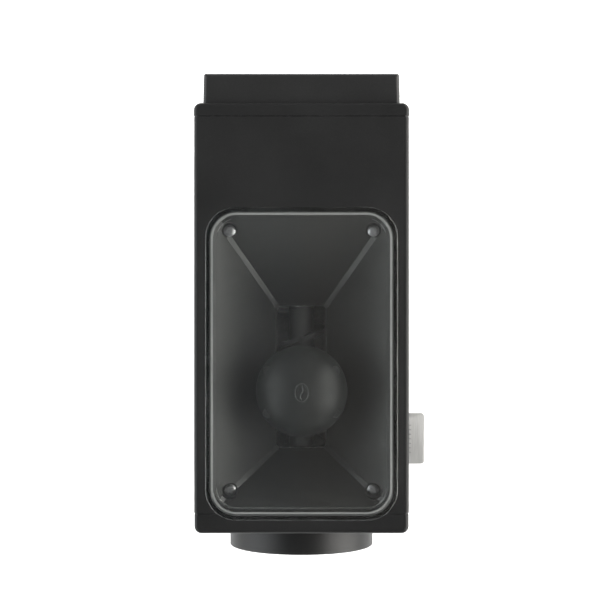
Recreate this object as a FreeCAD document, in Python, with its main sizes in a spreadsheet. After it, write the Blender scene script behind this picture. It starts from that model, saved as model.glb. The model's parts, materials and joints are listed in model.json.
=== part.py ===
import FreeCAD, Part
import math
import operator
import os
from types import SimpleNamespace

import Sketcher
from FreeCAD import Placement, Rotation, Vector

# Burr coffee grinder, millimetres. +Z up, -Y towards the dial, +X towards the knocker lever.
# The origin is the middle of the foot ring's footprint, on the surface that the grinder stands on.

SIZES = [
    ("head_width", 106, "head, outside width"),
    ("head_length", 212.3, "head, front cap to rear cap"),
    ("head_height", 110, "head, bottom to top"),
    ("foot_height", 2.5, "foot ring, thickness"),
    ("base_height", 18, "base slab, thickness"),
    ("bay_height", 88, "space for the cup, base to head"),
    ("shell_wall", 3, "wall of shell, caps, column and base"),
    ("corner_round", 3.5, "rounding of the upright corners"),
    ("edge_round", 1.8, "rounding of the long edges"),
    ("front_cap_depth", 9.8, "front cap, depth"),
    ("rear_cap_depth", 6.6, "rear cap, depth"),
    ("seam_groove", 0.4, "grooves at the seams, depth and half width"),
    ("post_width", 9, "screw posts, width"),
    ("cap_step", 0.15, "front cap inside the shell line, rear cap outside it"),
    ("run_gap", 0.3, "clearance round pieces that move"),
    ("slip_gap", 0.03, "radial clearance of seated round pieces"),
    ("pivot_gap", 0.05, "radial clearance of running pins"),
    ("seat_gap", 0.1, "gap under loose pieces"),
    ("vent_depth", 15.1, "vent cover, depth"),
    ("vent_inset", 4.2, "vent cover, inset at the sides"),
    ("vent_drop", 4.5, "vent cover, inset at top and bottom"),
    ("vent_draft", 0.35, "vent cover, draft of each side"),
    ("vent_wall", 2.5, "vent cover, wall"),
    ("vent_round", 3, "vent cover, rounding of the long edges"),
    ("louvre_height", 3.6, "vent cover, louvre opening"),
    ("louvre_pitch", 8, "vent cover, louvre spacing"),
    ("air_hole_radius", 35, "rear cap, air hole"),
    ("bin_width", 91.6, "bin wall, width at the foot"),
    ("bin_length", 149.2, "bin wall, length at the foot"),
    ("bin_corner", 14.6, "bin wall, corner radius"),
    ("bin_wall", 2.1, "bin wall, thickness"),
    ("bin_flare", 0.4, "bin wall, flare of each side at the rim"),
    ("bin_rise", 20, "bin wall, height above the head"),
    ("bin_setback", 0.25, "bin wall, distance behind the front seam"),
    ("lid_thickness", 2.5, "bin lid, plate"),
    ("lid_inset", 0.15, "bin lid, inset from the rim"),
    ("lip_depth", 5, "bin lid, lip depth"),
    ("lip_wall", 1.6, "bin lid, lip thickness"),
    ("seal_width", 1.2, "lid seal, section width"),
    ("funnel_depth", 37.3, "funnel, depth from ledge to throat"),
    ("funnel_drop", 3, "funnel, wall measured straight down"),
    ("flange_height", 3.5, "funnel, flange thickness"),
    ("valley_cut", 1.8, "funnel, flat along the valleys"),
    ("throat_width", 26, "funnel throat, width"),
    ("throat_length", 73.5, "funnel throat, length"),
    ("throat_run", 26.8, "funnel throat, distance behind the funnel's front edge"),
    ("screw_span_x", 71.8, "hopper screws, spacing across"),
    ("screw_span_y", 130, "hopper screws, spacing along"),
    ("screw_well_radius", 4, "hopper screws, well"),
    ("front_well_drop", 17, "hopper screws, floor of the front wells below the head top"),
    ("rear_well_drop", 11, "hopper screws, floor of the rear wells below the head top"),
    ("boss_wall", 1, "hopper screws, wall of their bosses"),
    ("ledge_drop", 23.5, "hopper ledges, top below the head top"),
    ("ledge_depth", 5, "hopper ledges, thickness"),
    ("thread_grip", 3.5, "hopper screws, length in the ledges"),
    ("dome_radius", 23.2, "bean dome, radius"),
    ("dome_height", 14, "bean dome, height"),
    ("dome_wall", 2, "bean dome, wall"),
    ("dome_drop", 12, "bean dome, rim below the head top"),
    ("dome_setback", 30.95, "bean dome, centre behind the throat's front edge"),
    ("leg_radius", 2.4, "bean dome, legs"),
    ("dial_radius", 37.5, "dial, radius"),
    ("dial_proud", 13.5, "dial, height above the front cap"),
    ("dial_wall", 3, "dial, wall"),
    ("dial_bevel", 0.5, "dial, bevel of the front edge"),
    ("insert_radius", 31, "dial insert, radius"),
    ("insert_depth", 1, "dial insert, thickness"),
    ("insert_recess", 0.2, "dial insert, depth below the dial's front edge"),
    ("hub_bore", 20, "adjusting hub, bore radius"),
    ("hub_wall", 10, "adjusting hub, radial width"),
    ("burr_radius", 32, "burrs, outer radius"),
    ("burr_bore", 14, "burrs, inner radius"),
    ("fixed_burr_depth", 8, "fixed burr, thickness"),
    ("moving_burr_depth", 7, "rotating burr, thickness"),
    ("grind_gap", 0.7, "gap between the burrs at the middle setting"),
    ("carrier_depth", 4, "burr carriers, plate thickness"),
    ("carrier_rim", 0.9, "outer carrier, rim round the fixed burr"),
    ("chamber_radius", 36, "burr chamber, inner radius"),
    ("chamber_wall", 4, "burr chamber, wall"),
    ("chamber_gap", 0.5, "burr chamber, gap behind the rotating carrier"),
    ("trough_radius", 13, "feed trough, inner radius"),
    ("trough_wall", 3, "feed trough, wall"),
    ("shaft_radius", 5, "drive shaft, radius"),
    ("auger_gap", 0.6, "auger, clearance in the trough"),
    ("auger_pitch", 20, "auger, pitch"),
    ("flight_width", 2.4, "auger, thickness of the flight"),
    ("bearing_width", 8, "bearings, width"),
    ("coupling_length", 14, "shaft coupling, length"),
    ("coupling_radius", 12, "shaft coupling, radius"),
    ("motor_radius", 31, "motor, radius"),
    ("motor_wall", 1.5, "motor can, wall"),
    ("bell_depth", 8, "motor end bells, depth"),
    ("fan_depth", 5.5, "cooling fan, depth"),
    ("mount_height", 3, "rubber motor mounts, height"),
    ("bracket_plate", 3, "motor bracket, plate"),
    ("spout_drop", 11, "chute, length below the head"),
    ("chute_width", 22, "chute, inner width"),
    ("chute_wall", 2, "chute, wall"),
    ("outlet_drop", 42.5, "chute flange below the shaft"),
    ("knocker_length", 28, "knocker lever, length along the head"),
    ("knocker_proud", 15.3, "knocker lever, reach outside the shell"),
    ("knocker_front", 24.45, "knocker lever, front end behind the head's front"),
    ("knocker_rise", 14, "knocker lever, middle above the head's bottom"),
    ("knocker_plate", 3, "knocker lever, thickness"),
    ("knocker_reach", 17, "knocker lever, pivot inside the shell's side"),
    ("knocker_swing", 15, "knocker lever, degrees of travel"),
    ("pin_radius", 1.5, "knocker pin, radius"),
    ("cup_radius", 36.5, "grounds cup, radius"),
    ("cup_height", 72, "grounds cup, height"),
    ("cup_wall", 1.2, "grounds cup, wall"),
    ("cup_back", 39.15, "grounds cup, centre behind the head's front"),
    ("cup_mouth", 23, "cup lid, radius of its opening"),
    ("pad_radius", 41, "cup pad, radius"),
    ("pad_depth", 1, "cup pad, thickness"),
    ("column_setback", 108.15, "column, front face behind the head's front"),
    ("button_radius", 6, "start button, radius"),
    ("button_travel", 1.5, "start button, travel"),
    ("button_side", 12, "start button, distance from the head's side"),
    ("button_rise", 13, "start button, height above the head's bottom"),
    ("bezel_width", 2.2, "button bezel, width"),
    ("gland_bore", 3.6, "cord gland, bore radius"),
    ("gland_radius", 6.5, "cord gland, outer radius"),
    ("gland_length", 20, "cord gland, length"),
    ("gland_rise", 15, "cord gland, height above the base"),
    ("screw_radius", 1.5, "screws, shank radius"),
    ("screw_head", 2.9, "screws, head radius"),
    ("screw_head_depth", 1.6, "screws, head depth"),
    ("screw_chamfer", 0.5, "screws, chamfer of the tip"),
    ("case_screw_length", 10, "case screws, length"),
    ("chassis_screw_length", 8, "chassis screws, length"),
    ("moving_screw_length", 8, "rotating burr screws, length"),
    ("fixed_screw_length", 9, "fixed burr screws, length"),
    ("hub_screw_length", 2.8, "hub screws, length"),
    ("plate_gap", 4.65, "outer carrier, plate behind the dial's floor"),
    ("neck_gap", 0.85, "outer carrier, neck behind the dial's floor"),
    ("spring_room", 1.1, "adjusting hub, end ahead of the outer carrier's plate"),
    ("hub_sink", 2.7, "burr carrier, hub ahead of the rotating burr's back"),
    ("back_wall", 3.5, "burr chamber, back wall"),
    ("ear_share", 0.825, "housing ears, place across and up as a share of the chamber's outer radius"),
    ("ear_depth", 4, "housing ears, thickness and distance behind the cap's wall"),
    ("motor_shaft", 4, "motor shaft and shaft thread, radius"),
    ("bearing_radius", 11, "motor bearings, outer radius"),
    ("bearing_depth", 7, "motor bearings, width"),
    ("motor_screw_ring", 22, "motor screws, radius of their circle"),
    ("cap_screw_side", 8, "rear cap screws, inset from the shell's inside"),
    ("cap_screw_level", 9.5, "rear cap screws, inset from the head's top and bottom"),
    ("cap_post_length", 14, "rear cap screws, length of their posts"),
    ("cap_boss", 4.5, "cap screws, radius of their bosses"),
    ("column_screw_back", 20, "column screws, rear pair ahead of the rear seam"),
    ("board_peg", 3, "power board, radius of its pegs"),
    ("base_boss", 4, "base plate screws, radius of their bosses"),
    ("base_screw_side", 9, "base plate screws, inset from the sides"),
    ("base_screw_end", 12, "base plate screws, inset from the ends"),
    ("plate_depth", 3, "base plate, thickness"),
    ("plate_play", 0.2, "base plate, clearance all round"),
    ("foot_inset", 4, "foot ring, inset from the base's edge"),
    ("foot_width", 10, "foot ring, width"),
    ("foot_corner", 6, "foot ring, corner radius"),
    ("magnet_radius", 10, "cup magnet, radius"),
    ("magnet_depth", 3, "cup magnet, thickness"),
    ("pointer_width", 1.5, "dial pointer, width"),
    ("pointer_depth", 0.8, "dial pointer, thickness"),
    ("pointer_near", 3, "dial pointer, start outside the dial"),
    ("pointer_length", 6, "dial pointer, length"),
    ("key_width", 3, "front cap keys, width"),
    ("key_reach", 0.7, "front cap keys, reach into the bore"),
    ("inlet_lead", 2.65, "chute inlet, front edge ahead of the front seam"),
    ("inlet_length", 10.5, "chute inlet, length"),
    ("spout_shift", 14, "chute spout, front edge behind the inlet's"),
    ("spout_length", 16, "chute spout, length"),
    ("chute_play", 0.6, "chute, clearance at each side in the head's floor"),
    ("chute_hole_lead", 7.1, "chute hole, rear edge ahead of the spout's"),
    ("chute_flange", 2.5, "chute flange, thickness"),
    ("bezel_rim", 1.8, "knocker bezel, rim above and below its slot"),
    ("bezel_side", 1.6, "knocker bezel, rim at the ends of its slot"),
    ("barrel_radius", 3.2, "knocker lever, radius of its barrel"),
    ("barrel_length", 19.7, "knocker lever, length of its barrel"),
    ("hammer_side", 2, "knocker lever, hammer's distance outside the chute's inside"),
    ("hammer_width", 8, "knocker lever, width of its hammer"),
    ("bracket_width", 10, "knocker bracket, width"),
    ("bracket_ear", 4, "knocker bracket, thickness of its ears"),
    ("board_depth", 14, "power board, face ahead of the rear"),
    ("board_plate", 1.6, "power board, thickness"),
    ("fan_radius", 27, "cooling fan, radius"),
    ("fan_blade", 1.4, "cooling fan, thickness of a blade"),
]

ALONG = {
    "x": Rotation(Vector(0, 1, 0), 90),
    "y": Rotation(Vector(1, 0, 0), -90),
    "z": Rotation(),
}
OPERATORS = {"+": operator.add, "-": operator.sub, "*": operator.mul, "/": operator.truediv}

doc = FreeCAD.newDocument("grinder")
subparts = []
inside_screws = []


class Size:
    """A number together with the sheet expression that works it out."""

    def __init__(self, text, value):
        self.text = text
        self.value = value

    def __add__(self, other):
        return join(self, "+", other)

    def __radd__(self, other):
        return join(other, "+", self)

    def __sub__(self, other):
        return join(self, "-", other)

    def __rsub__(self, other):
        return join(other, "-", self)

    def __mul__(self, other):
        return join(self, "*", other)

    def __rmul__(self, other):
        return join(other, "*", self)

    def __truediv__(self, other):
        return join(self, "/", other)

    def __neg__(self):
        return join(-1, "*", self)


def as_size(number):
    return number if isinstance(number, Size) else Size(f"({float(number)!r})", float(number))


def join(left, sign, right):
    left = as_size(left)
    right = as_size(right)
    return Size(f"({left.text} {sign} {right.text})", OPERATORS[sign](left.value, right.value))


def sine(angle):
    """The sine of an angle in degrees."""
    return Size(f"sin({angle.text} * 1 deg)", math.sin(math.radians(angle.value)))


def fill_sheet():
    sheet = doc.addObject("Spreadsheet::Sheet", "Sizes")
    for row, (name, number, meaning) in enumerate(SIZES, 1):
        sheet.set(f"A{row}", meaning)
        sheet.set(f"B{row}", str(number))
        sheet.setAlias(f"B{row}", name)
    doc.recompute()
    return {name: Size(f"Sizes.{name}", float(sheet.get(name))) for name, _, _ in SIZES}


def bind(thing, prop, size):
    thing.setExpression(prop, as_size(size).text)


def place(thing, start, turn=Rotation()):
    """Set a placement whose base follows the sheet."""
    start = [as_size(number) for number in start]
    thing.Placement = Placement(Vector(*[number.value for number in start]), turn)
    for axis, number in zip("xyz", start):
        bind(thing, f"Placement.Base.{axis}", number)


def block(name, *spans):
    """A box from its (low, high) pairs along X, Y and Z."""
    box = doc.addObject("Part::Box", name)
    for prop, (low, high) in zip(("Length", "Width", "Height"), spans):
        bind(box, prop, high - low)
    place(box, [low for low, high in spans])
    return box


def middle(centre, width):
    """The (low, high) pair of a width about a centre."""
    return (centre - width / 2, centre + width / 2)


def rod(name, axis, start, radius, length):
    cylinder = doc.addObject("Part::Cylinder", name)
    bind(cylinder, "Radius", radius)
    bind(cylinder, "Height", length)
    place(cylinder, start, ALONG[axis])
    return cylinder


def fuse(name, pieces):
    joined = doc.addObject("Part::MultiFuse", name)
    joined.Shapes = pieces
    return joined


def group(name, pieces):
    """Separate solids that share one node."""
    together = doc.addObject("Part::Compound", name)
    together.Links = pieces
    return together


def cut(name, base, tools):
    result = doc.addObject("Part::Cut", name)
    result.Base = base
    result.Tool = tools[0] if len(tools) == 1 else fuse(name + "_tools", tools)
    return result


def tube(name, axis, start, outer, inner, length):
    return cut(name, rod(name + "_outer", axis, start, outer, length),
               [rod(name + "_inner", axis, start, inner, length)])


def spoke(name, angle, span, reach, width):
    """A radial bar about the shaft line, from the shaft out, at an angle in degrees."""
    bar = doc.addObject("Part::Box", name)
    bind(bar, "Length", reach)
    bind(bar, "Width", span[1] - span[0])
    bind(bar, "Height", width)
    lean = math.radians(angle)
    shift = as_size(width) / 2
    start = [-shift * math.sin(lean), span[0], shaft_z - shift * math.cos(lean)]
    place(bar, start, Rotation(Vector(0, 1, 0), angle))
    return bar


def origin_plane(body, role):
    return [feature for feature in body.Origin.OriginFeatures if feature.Role == role][0]


def pin_corner(sketch, index, corner):
    """Hold one corner of an outline at its two distances from the sketch's origin."""
    for kind, axis, number in (("DistanceX", -2, corner[0]), ("DistanceY", -1, corner[1])):
        number = as_size(number)
        if abs(number.value) < 1e-9:
            sketch.addConstraint(Sketcher.Constraint("PointOnObject", index, 1, axis))
            continue
        held = Sketcher.Constraint(kind, -1, 1, index, 1, number.value)
        sketch.setExpression(f"Constraints[{sketch.addConstraint(held)}]", number.text)


def outline(body, name, role, corners, offset=None):
    """A closed outline of straight lines on one of the body's own planes."""
    sketch = body.newObject("Sketcher::SketchObject", name)
    sketch.AttachmentSupport = [(origin_plane(body, role), "")]
    sketch.MapMode = "FlatFace"
    if offset is not None:
        bind(sketch, "AttachmentOffset.Base.z", offset)
    points = [Vector(as_size(x).value, as_size(y).value, 0) for x, y in corners]
    count = len(corners)
    for index in range(count):
        sketch.addGeometry(Part.LineSegment(points[index], points[(index + 1) % count]))
    for index in range(count):
        sketch.addConstraint(Sketcher.Constraint("Coincident", index, 2, (index + 1) % count, 1))
    for index, corner in enumerate(corners):
        pin_corner(sketch, index, corner)
    return sketch


def ring_outline(body, name, role, centre, radius):
    """A circle on one of the body's own planes."""
    centre = [as_size(number) for number in centre]
    sketch = body.newObject("Sketcher::SketchObject", name)
    sketch.AttachmentSupport = [(origin_plane(body, role), "")]
    sketch.MapMode = "FlatFace"
    spot = Vector(centre[0].value, centre[1].value, 0)
    sketch.addGeometry(Part.Circle(spot, Vector(0, 0, 1), as_size(radius).value))
    for kind, axis, number in (("DistanceX", -2, centre[0]), ("DistanceY", -1, centre[1])):
        if abs(number.value) < 1e-9:
            sketch.addConstraint(Sketcher.Constraint("PointOnObject", 0, 3, axis))
            continue
        held = Sketcher.Constraint(kind, -1, 1, 0, 3, number.value)
        sketch.setExpression(f"Constraints[{sketch.addConstraint(held)}]", number.text)
    size = Sketcher.Constraint("Radius", 0, as_size(radius).value)
    sketch.setExpression(f"Constraints[{sketch.addConstraint(size)}]", as_size(radius).text)
    return sketch


def rounded_outline(body, name, x, y, radius, offset):
    """A rectangle in plan with round corners: four arcs held by their centres, joined by lines."""
    sketch = body.newObject("Sketcher::SketchObject", name)
    sketch.AttachmentSupport = [(origin_plane(body, "XY_Plane"), "")]
    sketch.MapMode = "FlatFace"
    bind(sketch, "AttachmentOffset.Base.z", offset)
    centres = [(x[1] - radius, y[1] - radius), (x[0] + radius, y[1] - radius),
               (x[0] + radius, y[0] + radius), (x[1] - radius, y[0] + radius)]
    for index, (across, along) in enumerate(centres):
        circle = Part.Circle(Vector(across.value, along.value, 0), Vector(0, 0, 1), radius.value)
        sketch.addGeometry(Part.ArcOfCircle(circle, index * math.pi / 2, (index + 1) * math.pi / 2))
    for index in range(4):
        start = sketch.getPoint(index, 2)
        sketch.addGeometry(Part.LineSegment(start, sketch.getPoint((index + 1) % 4, 1)))
    for index in range(4):
        sketch.addConstraint(Sketcher.Constraint("Tangent", index, 2, index + 4, 1))
        sketch.addConstraint(Sketcher.Constraint("Tangent", index + 4, 2, (index + 1) % 4, 1))
    for index, centre in enumerate(centres):
        for kind, number in zip(("DistanceX", "DistanceY"), centre):
            held = Sketcher.Constraint(kind, -1, 1, index, 3, number.value)
            sketch.setExpression(f"Constraints[{sketch.addConstraint(held)}]", number.text)
        held = Sketcher.Constraint("Radius", index, radius.value)
        sketch.setExpression(f"Constraints[{sketch.addConstraint(held)}]", radius.text)
    return sketch


def padded(name, corners, low, high):
    """A body raised from an outline in plan."""
    body = doc.addObject("PartDesign::Body", name)
    sketch = outline(body, name + "_plan", "XY_Plane", corners, low)
    pad = body.newObject("PartDesign::Pad", name + "_pad")
    pad.Profile = sketch
    bind(pad, "Length", high - low)
    return body


def slab(name, x, y, z, *rounds):
    """A rectangular body; each (radius, test) rounds the edges that pass the test."""
    corners = [(x[0], y[0]), (x[1], y[0]), (x[1], y[1]), (x[0], y[1])]
    body = padded(name, corners, z[0], z[1])
    for radius, test in rounds:
        round_edges(body, radius, test)
    return body


def round_edges(body, radius, test):
    doc.recompute()
    base = body.Tip
    chosen = [f"Edge{number}" for number, edge in enumerate(base.Shape.Edges, 1) if test(edge)]
    fillet = body.newObject("PartDesign::Fillet", body.Name + "_round")
    fillet.Base = (base, chosen)
    bind(fillet, "Radius", radius)


def turned(name, role, axis, corners, start, turn=Rotation()):
    """A body turned about one of the sketch's axes, then moved to its place."""
    body = doc.addObject("PartDesign::Body", name)
    sketch = outline(body, name + "_profile", role, corners)
    revolution = body.newObject("PartDesign::Revolution", name + "_turn")
    revolution.Profile = sketch
    revolution.ReferenceAxis = (sketch, [axis])
    revolution.Angle = 360
    place(body, start, turn)
    return body


def turned_on_shaft(name, corners):
    """A body turned about the shaft line from (y, radius) corners."""
    return turned(name, "YZ_Plane", "H_Axis", corners, (0, 0, shaft_z))


def lofted(name, low_corners, low, high_corners, high):
    """A straight-sided body between two outlines in plan."""
    body = doc.addObject("PartDesign::Body", name)
    first = outline(body, name + "_low", "XY_Plane", low_corners, low)
    last = outline(body, name + "_high", "XY_Plane", high_corners, high)
    loft = body.newObject("PartDesign::AdditiveLoft", name + "_loft")
    loft.Profile = first
    loft.Sections = [last]
    loft.Ruled = True
    return body


def coil(name, start, turn, radius, wire, pitch, length):
    """A spring of round wire about its own axis."""
    body = doc.addObject("PartDesign::Body", name)
    sketch = ring_outline(body, name + "_wire", "XZ_Plane", (radius, wire), wire)
    helix = body.newObject("PartDesign::AdditiveHelix", name + "_helix")
    helix.Profile = sketch
    helix.ReferenceAxis = (sketch, ["V_Axis"])
    helix.Mode = 0
    bind(helix, "Pitch", pitch)
    bind(helix, "Height", length - wire * 2)
    place(body, start, turn)
    return body


def edge_span(edge, axis):
    box = edge.BoundBox
    return {"x": (box.XMin, box.XMax), "y": (box.YMin, box.YMax), "z": (box.ZMin, box.ZMax)}[axis]


def runs(axis):
    """A test for straight edges along one axis."""
    others = [other for other in "xyz" if other != axis]

    def test(edge):
        return all(abs(operator.sub(*edge_span(edge, other))) < 1e-3 for other in others)

    return test


def lies(axis, size):
    """A test for edges in one plane across an axis."""

    def test(edge):
        return all(abs(number - as_size(size).value) < 1e-3 for number in edge_span(edge, axis))

    return test


def both(first, second):
    return lambda edge: first(edge) and second(edge)


def either(first, second):
    return lambda edge: first(edge) or second(edge)


def without(first, second):
    return lambda edge: first(edge) and not second(edge)


def screw(name, spot, turn, length, radius=None, head=None, depth=None):
    """A pan-head screw; its head's underside is at the spot and its shank runs along the turn."""
    radius = radius or dim.screw_radius
    head = head or dim.screw_head
    depth = depth or dim.screw_head_depth
    corners = [(0, -depth), (head * 0.8, -depth), (head, -depth * 0.6), (head, 0),
               (radius, 0), (radius, length - dim.screw_chamfer), (radius - dim.screw_chamfer, length),
               (0, length)]
    return turned(name, "XZ_Plane", "V_Axis", corners, spot, turn)


def screws(name, spots, length, **sizes):
    """Equal screws in one node, from the (spot, turn) of each."""
    pieces = [screw(f"{name}_{index}", spot, turn, length, **sizes)
              for index, (spot, turn) in enumerate(spots)]
    node(name, group(name + "_set", pieces))


def screw_hole(name, axis, start, length):
    return rod(name, axis, start, dim.screw_radius + dim.slip_gap, length)


def node(name, thing):
    """Name a finished piece and keep it for export."""
    thing.Label = name
    subparts.append(thing)
    return thing


FORWARD = Rotation(Vector(1, 0, 0), 90)
BACKWARD = Rotation(Vector(1, 0, 0), -90)
DOWN = Rotation(Vector(1, 0, 0), 180)
UP = Rotation()

dim = SimpleNamespace(**fill_sheet())

# Levels and faces that the pieces share.
half_width = dim.head_width / 2
front = -dim.head_length / 2
rear = dim.head_length / 2
base_bottom = dim.foot_height
base_top = base_bottom + dim.base_height
head_bottom = base_top + dim.bay_height
head_top = head_bottom + dim.head_height
shaft_z = head_bottom + dim.head_height / 2
front_seam = front + dim.front_cap_depth
rear_seam = rear - dim.rear_cap_depth
inner_half = half_width - dim.shell_wall
floor_z = head_bottom + dim.shell_wall
ceiling_z = head_top - dim.shell_wall
cap_inside = front + dim.shell_wall

# Bin, funnel and throat.
bin_half = dim.bin_width / 2
bin_front = front_seam + dim.bin_setback
bin_rear = bin_front + dim.bin_length
bin_middle = (bin_front + bin_rear) / 2
rim_z = head_top + dim.bin_rise
funnel_half = bin_half + dim.bin_flare - dim.bin_wall
funnel_front = bin_front - dim.bin_flare + dim.bin_wall
funnel_rear = bin_rear + dim.bin_flare - dim.bin_wall
throat_half = dim.throat_width / 2
throat_front = funnel_front + dim.throat_run
throat_rear = throat_front + dim.throat_length
throat_z = ceiling_z - dim.funnel_depth
hopper_posts = [(x * dim.screw_span_x / 2, bin_middle + y * dim.screw_span_y / 2)
                for x in (-1, 1) for y in (-1, 1)]
boss_radius = dim.screw_well_radius + dim.boss_wall
ledge_z = head_top - dim.ledge_drop
front_well = head_top - dim.front_well_drop
rear_well = head_top - dim.rear_well_drop
well_floors = [front_well, rear_well] * 2
dome_y = throat_front + dim.dome_setback
dome_rim = head_top - dim.dome_drop

# Burrs and drive, front to back along the shaft line.
dial_front = front - dim.dial_proud
dial_back = front - dim.run_gap
dial_floor = dial_front + dim.dial_wall
plate_front = dial_floor + dim.plate_gap
burr_front = plate_front + dim.carrier_depth
grind_face = burr_front + dim.fixed_burr_depth
moving_front = grind_face + dim.grind_gap
moving_back = moving_front + dim.moving_burr_depth
spider_back = moving_back + dim.carrier_depth
chamber_back = spider_back + dim.chamber_gap
carrier_radius = dim.burr_radius + dim.slip_gap + dim.carrier_rim
cap_bore = carrier_radius + dim.run_gap
chamber_outer = dim.chamber_radius + dim.chamber_wall
housing_back = chamber_back + dim.back_wall
trough_outer = dim.trough_radius + dim.trough_wall
trough_top = throat_z - dim.seat_gap
trough_back = throat_rear + 2
bearing_back = trough_back + dim.bearing_width
coupling_front = bearing_back + 3
coupling_back = coupling_front + dim.coupling_length
bracket_front = coupling_back + 2
bracket_back = bracket_front + dim.bracket_plate
can_front = bracket_back + dim.bell_depth
fan_back = rear_seam - 1
fan_front = fan_back - dim.fan_depth
can_back = fan_front - 1 - dim.bell_depth
motor_back = can_back + dim.bell_depth
ear_reach = chamber_outer * dim.ear_share

# Chute, knocker, button, column and cup.
outlet_z = shaft_z - dim.outlet_drop
spout_z = head_bottom - dim.spout_drop
chute_half = dim.chute_width / 2
inlet = (front_seam - dim.inlet_lead, front_seam - dim.inlet_lead + dim.inlet_length)
spout = (inlet[0] + dim.spout_shift, inlet[0] + dim.spout_shift + dim.spout_length)
knocker_y = (front + dim.knocker_front, front + dim.knocker_front + dim.knocker_length)
knocker_z = head_bottom + dim.knocker_rise
pivot_x = half_width - dim.knocker_reach
button_x = half_width - dim.button_side
button_z = head_bottom + dim.button_rise
column_front = front + dim.column_setback
cup_y = front + dim.cup_back
cup_bottom = base_top + dim.seat_gap
cup_top = cup_bottom + dim.cup_height
gland_z = base_top + dim.gland_rise
column_posts = [(side * (inner_half - dim.post_width / 2), y)
                for side in (-1, 1)
                for y in (column_front + dim.shell_wall + dim.post_width / 2,
                          rear_seam - dim.column_screw_back)]
cap_screw_spots = [(side * (inner_half - dim.cap_screw_side), z)
                   for side in (-1, 1)
                   for z in (head_bottom + dim.cap_screw_level, head_top - dim.cap_screw_level)]

# Places that two or more of the pieces share.
ear_face = cap_inside + dim.ear_depth
outlet_width = dim.chute_width + 18
outlet_y = (inlet[0] - 2, inlet[1] + 2)
chute_screw_x = [-(chute_half + 5.4), chute_half + 5.4]
chute_screw_y = (outlet_y[0] + outlet_y[1]) / 2
striker_y = (knocker_y[0] - 6.3, knocker_y[0] + 5.7)
striker_z = knocker_z - 7
lever_clear = 0.5
lever_drop = dim.knocker_reach * sine(dim.knocker_swing) + dim.knocker_plate / 2
slot_y = (knocker_y[0] - dim.run_gap, knocker_y[1] + dim.run_gap)
slot_z = (knocker_z - lever_drop - lever_clear, knocker_z + dim.knocker_plate / 2 + lever_clear)
bezel_y = (slot_y[0] - dim.bezel_side, slot_y[1] + dim.bezel_side)
bezel_z = (slot_z[0] - dim.bezel_rim, slot_z[1] + dim.bezel_rim)
barrel_back = knocker_y[0] + dim.barrel_length
bracket_peg_y = (knocker_y[0] + 5, knocker_y[1] - 4)
bezel_radius = dim.button_radius + dim.run_gap + dim.bezel_width
detent_radius = as_size(1)
detent_z = shaft_z - dim.dial_radius + 0.9
pointer_low = shaft_z + dim.dial_radius + dim.pointer_near
pointer_span = (pointer_low, pointer_low + dim.pointer_length)
switch_face = front_seam + 0.7
hook_width = 1.8
hook_spots = [(side * (half_width - dim.vent_inset - dim.vent_wall - hook_width / 2 + 0.6), z)
              for side in (-1, 1) for z in (shaft_z - 28, shaft_z + 28)]
board_back = rear - dim.board_depth
board_low = gland_z + 14
board_high = head_bottom - 8
board_spots = [(x * (half_width - 21), z) for x in (-1, 1) for z in (board_low + 4, board_high - 4)]
plate_top = base_bottom + dim.plate_depth
base_spots = [(x * (half_width - dim.base_screw_side), y) for x in (-1, 1)
              for y in (front + dim.base_screw_end, rear - dim.base_screw_end)]
mount_top = floor_z + dim.mount_height
auger_length = throat_rear - spider_back - 0.7


def seam_ring(name, y):
    """A shallow groove round the head where two of its pieces meet."""
    deep = dim.seam_groove
    outside = block(name + "_outer", middle(0, dim.head_width + 2), middle(y, deep * 2),
                    (head_bottom - 1, head_top + 1))
    inside = slab(name + "_inner", (-half_width + deep, half_width - deep), middle(y, deep * 4),
                  (head_bottom + deep, head_top - deep), (dim.edge_round, runs("y")))
    return cut(name, outside, [inside])


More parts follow.
